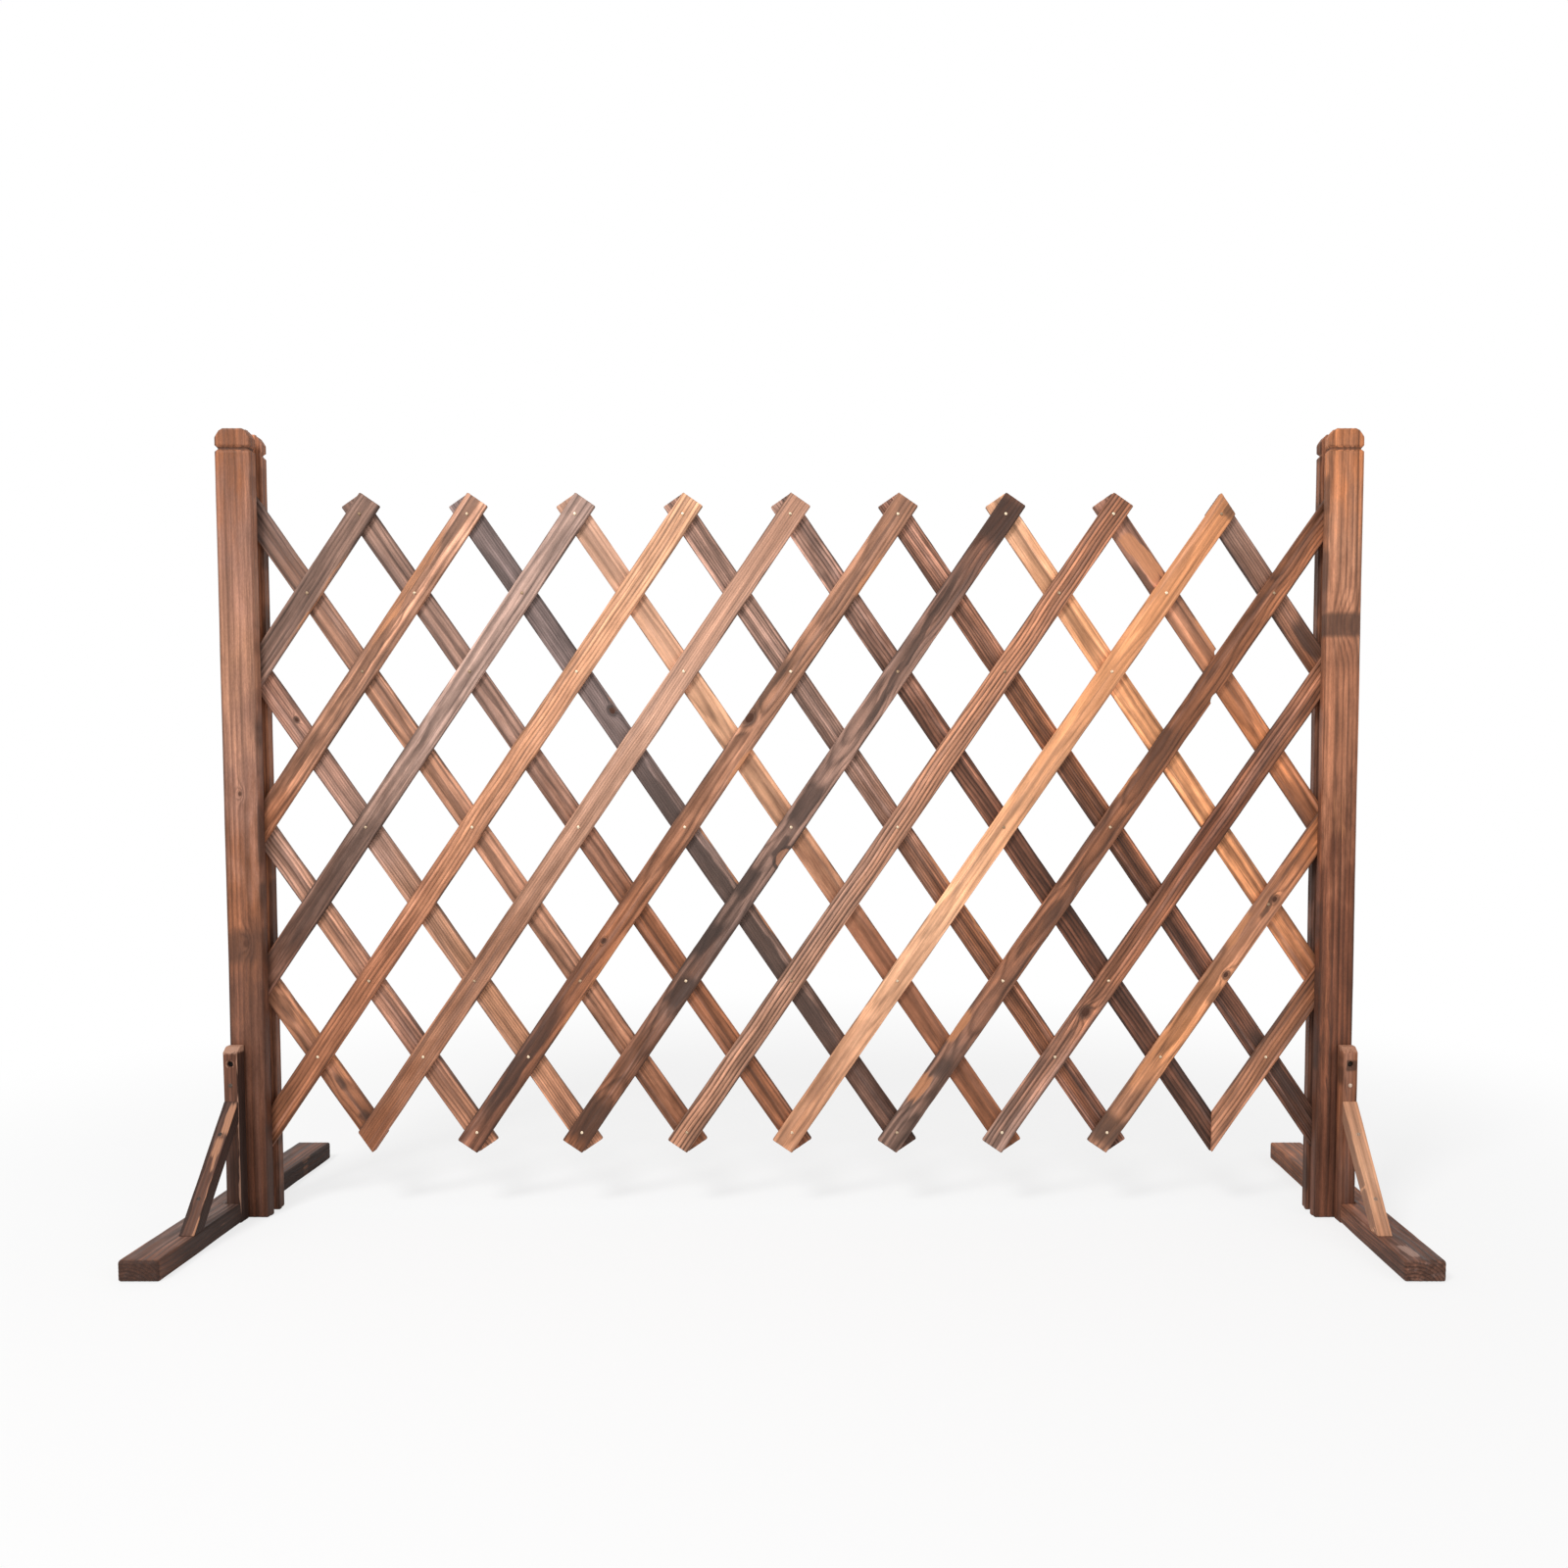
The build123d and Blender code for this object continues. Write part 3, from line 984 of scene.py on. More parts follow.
    def rings(self, points: Array) -> Array:
        """How many years' rings lie between the pith and each point.

        Args:
            points: the points in the piece's own axes.

        Returns:
            The number of rings, with the grain led round the knots.
        """
        rng, g = self.random(1), self.growth
        u, v, w = points.T
        pith_v = g.pith[0] + g.tilt[0] * u + g.wave * ripple(rng, u, g.wave_length)
        pith_w = -g.pith[1] + g.tilt[1] * u + g.wave * ripple(rng, u, g.wave_length * 1.3)
        count = np.hypot(v - pith_v, w - pith_w) / g.spacing
        for knot in self.look.knots:
            count += knot.led(points)
        return count

    def paint(self, points: Array, normal: Array) -> dict[Mask, Array]:
        """The masks that the finish reads.

        Args:
            points: the points in the piece's own axes.
            normal: their outward directions.

        Returns:
            A number for each point, by mask.
        """
        rng = self.random(2)
        u, v = points[:, 0], points[:, 1]
        share = v / (self.width / 2)
        masks = {mask: np.zeros_like(u) for mask in (Mask.CHAR, Mask.WEAR, Mask.KNOT)}
        corner = np.clip(1.0 - np.abs(normal).max(axis=1), 0.0, 0.3) / 0.3
        corner = np.where(np.abs(normal[:, 1]) > 0.99, 0.0, corner)
        # Each long edge is lightened where worn, and darkened as scorch and as painted shade along
        # it.
        for edge in (-1, 1):
            wear = ripple(rng, u, 0.5) + 0.5 * ripple(rng, u, 0.09)
            near = smooth((share * edge - 0.72) / 0.25)
            worn, burnt_and_shaded = np.clip(0.35 + wear, 0.0, 1.3), np.clip(0.55 - wear, 0.0, 1.2)
            masks[Mask.WEAR] += self.edge_wear * near * worn * (0.4 + corner)
            masks[Mask.CHAR] += self.edge_char * near * burnt_and_shaded

        def add(mask: Mask, values: Array) -> None:
            """Paints over a mask where the values are higher."""
            masks[mask] = np.maximum(masks[mask], values)

        for mark in self.look.marks:
            add(mark.kind, mark.paint(rng, u, share, normal))
        for hole in self.holes:
            # The rim of a screw hole is painted pale, as wear and as a painted highlight.
            add(Mask.WEAR, hole.pale_rim(points, normal))
            # The inside of a screw hole is painted dark, as painted shade in the recess.
            add(Mask.CHAR, 1.3 * hole.inside(points, normal))
        for bite in self.look.bites:
            if bite.scar > 0.0:
                torn, rim = bite.torn(points, normal, self.width / 2)
                masks[Mask.CHAR] *= 1.0 - torn
                add(Mask.CHAR, 1.2 * rim)
                add(Mask.WEAR, 1.1 * torn)
        for knot in self.look.knots:
            away = knot.away(points)
            add(Mask.KNOT, knot.tint * (1.0 - smooth((away - 0.55) / 0.6)))
            add(Mask.CHAR, 0.8 * knot.tint * (1.0 - smooth((away - 1.0) / 1.6)))
        masks[Mask.TONE] = u / self.length
        return masks

    def carve(self, points: Array, normal: Array, rings: Array) -> Array:
        """How far each point is brushed in.

        Args:
            points: the points in the piece's own axes.
            normal: their outward directions.
            rings: the number of rings at each point.

        Returns:
            The depth below the sawn surface, in metres.
        """
        u, v = points[:, 0], points[:, 1]
        late = smooth(1.0 - np.abs(rings - np.floor(rings) - 0.8) / 0.35)
        patch = 0.65 + 0.35 * ripple(self.random(3), u, 0.23)
        end_grain = smooth(np.abs(normal[:, 0]) * 1.5)
        depth = self.relief * (1.0 - late) * patch * (1.0 - 0.5 * end_grain)
        radius, fade = self.flat_reach
        for spot in self.flat_spots:
            depth = depth * smooth((np.hypot(u - spot, v) - radius) / fade)
        for knot in self.look.knots:
            depth = depth + np.clip(normal[:, 2], 0.0, 1.0) * knot.hollow(points)
        for bite in self.look.bites:
            depth = depth + bite.hollow * bite.torn(points, normal, self.width / 2)[0]
        for hole in self.holes:
            depth = depth + hole.depth * hole.inside(points, normal)
        return depth

    def build(self) -> bpy.types.Object:
        """Builds and dresses the piece.

        Returns:
            The object, riding on its body.
        """
        half_v, half_w = self.width / 2, self.depth / 2
        step_u, step_v, step_w = self.steps
        extra_along = self.extra_along + self.detail_lines()
        lines = (
            grid_lines(0.0, self.length, step_u, self.end_radius, extra_along),
            grid_lines(-half_v, half_v, step_v, self.edge_radius, self.extra_across) / half_v,
            grid_lines(-half_w, half_w, step_w, self.edge_radius, self.extra_through) / half_w,
        )
        place, faces = box_surface(tuple(map(len, lines)))
        points, normal = self.shape(*(lines[axis][place[:, axis]] for axis in range(3)))
        rings = self.rings(points)
        masks = self.paint(points, normal) | {Mask.RINGS: rings}
        points = points - normal * self.carve(points, normal, rings)[:, None]
        axes = np.array([self.along, self.outward.cross(self.along), self.outward])
        made = make_mesh(self.node + "_wood", points @ axes + np.array(self.origin), faces)
        grain = points + self.random(4).uniform(-5.0, 5.0, 3)
        attribute = made.data.attributes.new("grain", "FLOAT_VECTOR", "POINT")
        attribute.data.foreach_set("vector", grain.astype(np.float32).ravel())
        for mask, values in masks.items():
            add_mask(made, mask, values)
        material = self.look.material(self.node + "_finish")
        place_piece(made, self.body, self.node, self.slot, material)
        return made


# Most ramps run lighter towards the high ends: partly the laths' own tones, partly painted light,
# as their upper parts are lit more brightly.
FRONT_LOOKS = {
    1: Look(tones("ASH ASH"), 0.4, soot=0.15, cut=Cut.STRIPED, marks=(
        scorched_and_shaded(0.06, 0.24, 0.0, 1.4, 0.45), rubbed_and_highlit(0.0, 0.25, -1.2, -0.7, 0.75))),
    2: Look(tones("RUSSET TAN TAN ROSE_TAN"), 0.75, 0.62, cut=Cut.MIDDLE, marks=(
        rubbed_and_highlit(0.2, 0.52, 0.2, 1.3, 0.75), scorched_and_shaded(0.02, 0.5, -0.4, 0.05, 0.62),
        scorched_and_shaded(0.0, 0.2, -0.2, 0.9, 0.5))),
    3: Look(tones("COCOA ASH PALE_MAUVE PALE_MAUVE"), soot=0.15, cut=Cut.MIDDLE, marks=(
        scorched_and_shaded(-0.03, 0.28, -0.9, 0.3, 0.55), scorched_and_shaded(0.24, 0.52, -0.3, 0.5, 0.5),
        scorched_and_shaded(0.5, 0.74, -0.1, 0.15, 0.5))),
    4: Look(tones("RUSSET CHESTNUT HONEY PALE_HONEY"), streaks=0.45, cut=Cut.STRIPED),
    5: Look(tones("RUSSET TAN PALE_ROSE ROSE_TAN"), 0.3, 0.32),
    6: Look(
        tones("COCOA RUSSET TAN TAN"), soot=0.15, cut=Cut.FLAT,
        knots=(Knot(0.642, 0.0105, 0.0056, 0.001), Knot(0.3, 0.004, 0.002)), marks=(
            rubbed_and_highlit(0.1, 0.42, -1.3, -0.72, 1.0), rubbed_and_highlit(0.53, 0.64, -1.3, -0.6, 0.95),
            rubbed_and_highlit(0.82, 0.93, -1.3, -0.5), scorched_and_shaded(-0.03, 0.25, -0.5, 0.9, 0.75),
            scorched_and_shaded(0.62, 0.76, 0.2, 1.3, 0.8), rubbed_and_highlit(0.9, 0.97, 0.0, 1.3, 0.4))),
    7: Look(
        tones("RUSSET SMOKE MAUVE COCOA"), soot=0.25, worn=Stain.CLAY, cut=Cut.WILD,
        bites=(Bite(0.442, -1, 0.0008, 0.03, 0.0115),), marks=(
            scorched_and_shaded(0.57, 0.93, -0.95, -0.2, 1.0, drift=1.2), scorched_and_shaded(0.9, 1.0),
            scorched_and_shaded(0.47, 0.56, -0.7, 0.9), scorched_and_shaded(0.43, 0.475, -0.35, 0.4, 0.9, drift=-0.3),
            scorched_and_shaded(0.36, 0.42, -0.3, 1.1), scorched_and_shaded(0.26, 0.34, -0.2, 1.3),
            scorched_and_shaded(0.19, 0.26, -0.9, 0.7), scorched_and_shaded(-0.03, 0.07),
            rubbed_and_highlit(0.15, 0.2, -0.6, 0.9, 0.45))),
    8: Look(tones("TAN ROSE_TAN CLAY CHESTNUT"), 1.25, cut=Cut.STRIPED, marks=(
        rubbed_and_highlit(0.15, 0.9, -0.25, 0.0, 0.65), rubbed_and_highlit(0.3, 0.98, 0.5, 0.75, 0.6),
        scorched_and_shaded(0.3, 0.97, -0.8, -0.5, 0.45), scorched_and_shaded(0.1, 0.97, 0.1, 0.35, 0.5))),
    9: Look(tones("HONEY BUFF APRICOT AMBER"), 0.35, 0.4, 0.0, cut=Cut.FLAT, marks=(
        rubbed_and_highlit(0.79, 0.91, 0.55, 1.4, 1.0), scorched_and_shaded(0.95, 1.0, -1.4, 0.2, 1.0),
        scorched_and_shaded(0.42, 0.46, 0.35, 0.8, 0.55), scorched_and_shaded(0.6, 0.64, -0.3, 0.1, 0.5))),
    10: Look(
        tones("ASH CHESTNUT RUSSET RUSSET"), soot=0.2, cut=Cut.WILD,
        bites=(Bite(0.69, -1, 0.0036, 0.016),), marks=(
            scorched_and_shaded(0.48, 0.68, -0.7, 1.4, 0.55), scorched_and_shaded(0.28, 0.46, -1.2, 0.2, 0.6),
            rubbed_and_highlit(0.5, 0.58, 0.6, 1.4, 0.85), rubbed_and_highlit(0.12, 0.2, 0.3, 1.3, 1.0),
            rubbed_and_highlit(0.03, 0.1, -0.1, 1.4, 0.9), scorched_and_shaded(0.08, 0.13, -0.9, 0.6, 0.7))),
    11: Look(
        tones("ASH CHESTNUT RUST CHESTNUT"), 0.8, 0.75, cut=Cut.STRIPED,
        knots=(Knot(0.19, 0.001, 0.0052),), marks=(scorched_and_shaded(0.2, 0.7, -0.1, 0.2, 0.45),)),
    12: Look(
        tones("TAN AMBER CLAY COPPER"), cut=Cut.FLAT,
        knots=(Knot(0.37, -0.003, 0.003), Knot(0.255, -0.008, 0.003)), marks=(
            scorched_and_shaded(0.33, 0.385, -0.45, 0.25, 1.0, drift=0.2), rubbed_and_highlit(0.26, 0.36, 0.3, 1.3),
            scorched_and_shaded(-0.03, 0.04), rubbed_and_highlit(0.03, 0.2, 0.3, 1.0, 0.75),
            scorched_and_shaded(0.2, 0.245, -1.3, -0.2, 0.6), scorched_and_shaded(0.4, 0.47, -1.2, 0.6, 0.5))),
    13: Look(tones("CLAY RUSSET"), cut=Cut.STRIPED, marks=(rubbed_and_highlit(0.02, 0.2, -0.25, 0.1, 0.7),)),
}
# The thin pale lines near the upper-right edges of these laths (shares from about -1.4 to -0.6) are
# painted highlights, where the rounded edges catch the light.
BACK_LOOKS = {
    1: Look(tones("RUSSET CLAY"), cut=Cut.WILD, marks=(
        rubbed_and_highlit(0.04, 0.23, -1.3, -0.5, 0.75), scorched_and_shaded(0.055, 0.1, -0.6, 0.3, 0.8),
        scorched_and_shaded(0.01, 0.035, -0.8, 0.4, 0.8), scorched_and_shaded(0.16, 0.22, -0.2, 0.6, 0.6),
        rubbed_and_highlit(0.15, 0.2, -0.5, -0.1, 0.7))),
    2: Look(tones("CLAY DRIFT TAN MAUVE"), cut=Cut.STRIPED, marks=(
        rubbed_and_highlit(0.0, 0.5, -0.9, -0.65, 0.55),)),
    3: Look(tones("CLAY HONEY MAUVE DRIFT"), 0.5, knots=(Knot(0.643, -0.005, 0.0024),)),
    4: Look(tones("RUSSET TAN TAN SMOKE"), 0.65, cut=Cut.MIDDLE, marks=(
        scorched_and_shaded(0.1, 0.95, -0.15, 0.1, 0.55), rubbed_and_highlit(0.2, 0.9, -1.0, -0.75, 0.55))),
    5: Look(tones("RUSSET RUSSET MAUVE ASH"), cut=Cut.MIDDLE, marks=(
        scorched_and_shaded(0.35, 0.95, -0.3, 0.2, 0.6), rubbed_and_highlit(0.1, 0.6, -1.2, -0.85, 0.6))),
    6: Look(
        tones("UMBER ASH SLATE SLATE"), 0.4, soot=0.2, knots=(Knot(0.655, -0.008, 0.0036),), marks=(
            scorched_and_shaded(-0.03, 0.75, -0.5, 1.4, 0.75), rubbed_and_highlit(0.1, 0.62, -1.4, -0.78, 0.9),
            rubbed_and_highlit(0.635, 0.69, -0.9, -0.35, 0.5, drift=-0.3),
            scorched_and_shaded(0.78, 0.97, 0.1, 1.4, 0.5))),
    7: Look(tones("RUSSET CHESTNUT PALE_HONEY PALE_ROSE"), 0.35, 0.35, 0.0, cut=Cut.FLAT),
    8: Look(tones("BARK RUSSET ASH MAUVE"), 0.7, 0.75, marks=(
        rubbed_and_highlit(0.15, 0.5, -1.2, -0.6, 0.95), scorched_and_shaded(0.0, 0.95, 0.3, 1.2, 0.55),
        rubbed_and_highlit(0.5, 0.95, -1.2, -0.85, 0.6))),
    9: Look(tones("UMBER BARK COCOA MAUVE"), 0.85, 0.8, 0.2, cut=Cut.STRIPED, marks=(
        rubbed_and_highlit(0.3, 0.7, -1.2, -0.85, 0.6), scorched_and_shaded(0.7, 0.96, 0.1, 1.0, 0.5))),
    10: Look(tones("UMBER BARK RUSSET DRIFT"), 0.85, 0.8, 0.2, marks=(
        scorched_and_shaded(0.5, 0.95, -0.2, 0.3, 0.6), scorched_and_shaded(0.0, 0.2, -0.9, 0.4, 0.6))),
    11: Look(tones("RUSSET AMBER APRICOT PALE_HONEY"), 0.5, soot=0.0, cut=Cut.MIDDLE, marks=(
        scorched_and_shaded(0.2, 0.7, -0.15, 0.05, 0.5),)),
    12: Look(
        tones("RUSSET COPPER CLAY DRIFT"), 0.5, soot=0.05, cut=Cut.FLAT,
        bites=(Bite(0.2586, -1, 0.0055, 0.013),), marks=(
            rubbed_and_highlit(0.36, 0.47, -1.2, 0.3, 1.3, drift=0.7), scorched_and_shaded(0.34, 0.44, 0.3, 1.2, 0.8),
            rubbed_and_highlit(0.25, 0.33, -1.3, -0.6, 0.9), scorched_and_shaded(0.0, 0.1, -0.6, 0.9, 0.5))),
    13: Look(tones("RUSSET ASH"), soot=0.25, marks=(scorched_and_shaded(0.0, 0.09, -1.3, 0.4, 0.7),)),
}


@dataclass
class Lath(Timber):
    """One lath, whose low end crossing is at u = 0.

    Attributes:
        low_reach: how far its low end passes that crossing, at its low v and its high v.
        high_reach: the same at its high end.
        corner_radius: of its corners, seen from the front.
        saw_marks: how rough its sawn ends are.
        saw_waves: how close the saw's marks are, across and through.
    """

    low_reach: Pair = (0.0, 0.0)
    high_reach: Pair = (0.0, 0.0)
    corner_radius: float = 0.0018
    saw_marks: float = 0.0004
    saw_waves: Pair = (2100.0, 900.0)

    def ends(self, v: Array, w: Array) -> tuple[Array, Array]:
        """Where the low end and the high end lie.

        Args:
            v: places across the face.
            w: places out of the face.

        Returns:
            The u of both ends at each of them.
        """
        share = v / self.width + 0.5
        low = -(self.low_reach[0] + share * (self.low_reach[1] - self.low_reach[0]))
        high = self.length + self.high_reach[0] + share * (self.high_reach[1] - self.high_reach[0])
        radius = self.corner_radius
        near_edge = np.clip(radius - self.width / 2 + np.abs(v), 0.0, radius)
        short = radius - np.sqrt(radius**2 - near_edge**2)
        across, through = self.saw_waves
        marks = self.saw_marks * np.sin(v * across + self.seed) * np.sin(w * through + self.seed)
        short += np.abs(marks)
        return low + short, high - short


@dataclass
class Lattice:
    """The crossed laths and their nails.

    Attributes:
        columns: half meshes from post to post.
        rows: half meshes from the bottom to the top.
        pitch: from one crossing to the next, along a lath.
        lean: of the laths from upright, in radians.
        width: of a lath.
        thickness: of a lath.
        overhang: of a square end past its last crossing.
        gap: between the two layers.
        middle_z: of the lattice.
        pointed_low: the laths whose low end is pointed.
        pointed_high: the laths whose high end is pointed.
        mitred_low: the laths whose low end is cut along the lath that it meets.
        tip_spread: how far the nails' bent points stray from the back laths, in radians.
        nail_stain: the stain of the most stained nail, and how rare stained nails are.
    """

    columns: int = 20
    rows: int = 8
    pitch: float = 0.12
    lean: float = math.radians(34.5)
    width: float = 0.031
    thickness: float = 0.006
    overhang: float = 0.023
    gap: float = 0.0003
    middle_z: float = 0.502
    pointed_low: tuple[LathName, ...] = ((Layer.FRONT, 5), (Layer.BACK, 1), (Layer.BACK, 9))
    pointed_high: tuple[LathName, ...] = ((Layer.FRONT, 9), (Layer.BACK, 13))
    mitred_low: tuple[LathName, ...] = ((Layer.FRONT, 13),)
    tip_spread: float = 0.25
    nail_stain: Pair = (0.6, 2.5)

    def crossing(self, column: int, row: int) -> Vector:
        """The middle of a crossing.

        Args:
            column: its column, from the left post.
            row: its row, from the bottom.

        Returns:
            Its place at rest.
        """
        x = (column - self.columns / 2) * self.pitch * math.sin(self.lean)
        z = self.middle_z + (row - self.rows / 2) * self.pitch * math.cos(self.lean)
        return Vector((x, 0.0, z))

    def lath_ends(self, layer: Layer, number: int) -> tuple[Crossing, Crossing]:
        """The low and the high end crossing of a lath.

        Args:
            layer: its layer.
            number: its number in the layer, from 1.

        Returns:
            The two crossings, as columns and rows.
        """
        reach = 2 * number
        if layer is Layer.FRONT:
            low = (max(0, reach - self.rows), max(0, self.rows - reach))
            high = (min(self.columns, reach), self.rows + min(0, self.columns - reach))
        else:
            low = (min(self.columns, reach), max(0, reach - self.columns))
            high = (max(0, reach - self.rows), min(self.rows, reach))
        return low, high

    def nailed(self) -> list[Crossing]:
        """The crossings that have a nail.

        Returns:
            Their columns and rows.
        """
        last, top = self.columns, self.rows
        places = [(c, r) for c in range(2, last - 2, 2) for r in range(0, top + 1, 2)]
        places.remove((2, 0))
        places += [(c, r) for r in (1, top - 1) for c in (1, 3, 5, last - 5, last - 3, last - 1)]
        places += [(last - 1, 3), (last - 2, top)]
        return places + [(c, r) for c in (0, last) for r in (2, top - 2)]

    def on_lath(self, layer: Layer, number: int) -> list[tuple[float, Crossing]]:
        """The nails of one lath.

        Args:
            layer: the lath's layer.
            number: its number in the layer, from 1.

        Returns:
            Their distances from its low end crossing, with their crossings.
        """
        low, high = self.lath_ends(layer, number)
        found = []
        for column, row in self.nailed():
            if column - low[0] == layer.value * (row - low[1]) and low[1] <= row <= high[1]:
                found.append(((row - low[1]) * self.pitch, (column, row)))
        return found

    def end_reaches(self, layer: Layer, number: int) -> tuple[Pair, Pair]:
        """How far the ends of a lath pass its end crossings.

        Args:
            layer: the lath's layer.
            number: its number in the layer, from 1.

        Returns:
            The low end's reach and the high end's, each at its low v and its high v.
        """
        name = (layer, number)
        square = (self.overhang, self.overhang)
        far = self.width / 2 / math.tan(self.lean)
        near = self.width / 2 * math.tan(self.lean)
        low = (far, near) if name in self.pointed_low else square
        low = (far, -far) if name in self.mitred_low else low
        high = (near, far) if name in self.pointed_high else square
        if layer is Layer.BACK:
            low, high = low[::-1], high[::-1]
        return low, high

    def build_lath(self, layer: Layer, number: int) -> bpy.types.Object:
        """Builds one lath.

        Args:
            layer: its layer.
            number: its number in the layer, from 1.

        Returns:
            The lath.
        """
        look = (FRONT_LOOKS if layer is Layer.FRONT else BACK_LOOKS)[number]
        low, high = self.lath_ends(layer, number)
        node = f"{layer.name.lower()}_lath_{number:02d}"
        middle_y = -layer.value * (self.gap + self.thickness) / 2
        low_reach, high_reach = self.end_reaches(layer, number)
        return Lath(
            node=node, body=node, slot="lath_wood", look=look, growth=look.cut.value,
            origin=self.crossing(*low) + Vector((0.0, middle_y, 0.0)),
            along=Vector((layer.value * math.sin(self.lean), 0.0, math.cos(self.lean))),
            outward=FORWARD, length=(high[1] - low[1]) * self.pitch,
            width=self.width, depth=self.thickness, seed=100 * number + layer.value,
            edge_radius=0.0017, back_radius=0.0012, low_reach=low_reach, high_reach=high_reach,
            flat_spots=tuple(distance for distance, _ in self.on_lath(layer, number)),
        ).build()

    def build_nails(self, number: int, brass: bpy.types.Material) -> bpy.types.Object:
        """Builds the nails that sit in one front lath.

        Args:
            number: the lath's number.
            brass: the nails' material.

        Returns:
            The nails, as one object.
        """
        rng = np.random.default_rng(900 + number)
        through = 2 * self.thickness + self.gap
        forms, stained = [], []
        most, rarity = self.nail_stain
        for _, place in self.on_lath(Layer.FRONT, number):
            lean = rng.uniform(-self.tip_spread, self.tip_spread) - self.lean
            forms.append(ClenchedNail(self.crossing(*place), through, lean).form())
            stained += [most * rng.uniform(0.0, 1.0) ** rarity] * len(forms[-1][0])
        made = make_mesh(f"lath_nails_{number:02d}_brass", *join(forms))
        add_mask(made, Mask.STAINED, np.array(stained))
        body, node = f"front_lath_{number:02d}", f"lath_nails_{number:02d}"
        place_piece(made, body, node, "nail_brass", brass)
        return made

    def build(self, brass: bpy.types.Material) -> None:
        """Builds every lath and nail.

        Args:
            brass: the nails' material.
        """
        for number in range(1, (self.columns + self.rows) // 2):
            self.build_lath(Layer.FRONT, number)
            self.build_lath(Layer.BACK, number)
            self.build_nails(number, brass)


def closed_form(rings: list[list[Vector]]) -> Form:
    """A closed form of rings of points.

    Args:
        rings: the rings, of which the first and the last are single points.

    Returns:
        Its points and its faces.
    """
    count = len(rings[1])
    points = [point for ring in rings for point in ring]
    last = len(points) - 1
    faces = []
    for index in range(count):
        after = (index + 1) % count
        faces.append((0, 1 + index, 1 + after))
        for ring in range(len(rings) - 3):
            near, far = 1 + ring * count, 1 + (ring + 1) * count
            faces.append((near + index, far + index, far + after, near + after))
        faces.append((last - count + index, last, last - count + after))
    return points, faces


def join(forms: list[Form]) -> Form:
    """Several forms as one.

    Args:
        forms: the forms.

    Returns:
        The points and the faces of all of them.
    """
    points, faces = [], []
    for form_points, form_faces in forms:
        faces += [tuple(index + len(points) for index in face) for face in form_faces]
        points += form_points
    return points, faces


@dataclass
class Fastener:
    """A nail or a screw: a head on its seat, and a shank in the wood behind.

    Attributes:
        at: the middle of its seat.
        outward: the direction that its head faces.
        head: the radius and the height of its head.
        shank: the radius and the length of its shank.
        recess: how deep the cross in its head is.
        count: how many points a ring has.
        dome: the rounded share of the head's height.
        head_rings: the radii of the head's rings, as shares of its own.
        cross: how far the arms of the cross reach, as a share of the head's radius.
    """

    at: Vector
    outward: Vector
    head: Pair
    shank: Pair
    recess: float = 0.0
    count: int = 16
    dome: float = 0.45
    head_rings: tuple[float, ...] = (0.18, 0.36, 0.54, 0.7, 0.84, 0.93, 0.98, 1.0)
    cross: float = 0.62

    def ring(self, radius: float, height: float, sunk: float = 0.0) -> list[Vector]:
        """One ring, of which the points in the arms of the cross are sunk.

        Args:
            radius: of the ring.
            height: of the ring over the seat.
            sunk: how far those points are sunk.

        Returns:
            Its points, or the one point in its middle where the radius is 0.
        """
        if radius == 0.0:
            return [self.at + self.outward * (height - sunk)]
        upward = Vector((0.0, 1.0, 0.0)) if abs(self.outward.z) > 0.7 else UPWARD
        right = upward.cross(self.outward).normalized()
        upward = self.outward.cross(right)
        found = []
        for index in range(self.count):
            turn = math.tau * (index + 0.5) / self.count
            level = height - (sunk if abs(math.sin(2.0 * turn)) < 0.5 else 0.0)
            spoke = right * math.cos(turn) + upward * math.sin(turn)
            found.append(self.at + radius * spoke + self.outward * level)
        return found

    def form(self) -> Form:
        """The closed form of the nail or screw.

        Returns:
            Its points and its faces.
        """
        radius, height = self.head
        dome = self.dome * height
        rings = [self.ring(0.0, height, self.recess)]
        for share in self.head_rings:
            level = height - dome + dome * math.sqrt(1.0 - share**2)
            sunk = self.recess * max(0.0, 1.0 - share / self.cross)
            rings.append(self.ring(share * radius, level, sunk))
        rings.append(self.ring(radius, 0.0))
        shank_radius, length = self.shank
        for share, depth in ((1.0, 0.0), (1.0, 0.85 * length), (0.5, 0.95 * length)):
            rings.append(self.ring(share * shank_radius, -depth))
        rings.append(self.ring(0.0, -length))
        return closed_form(rings)


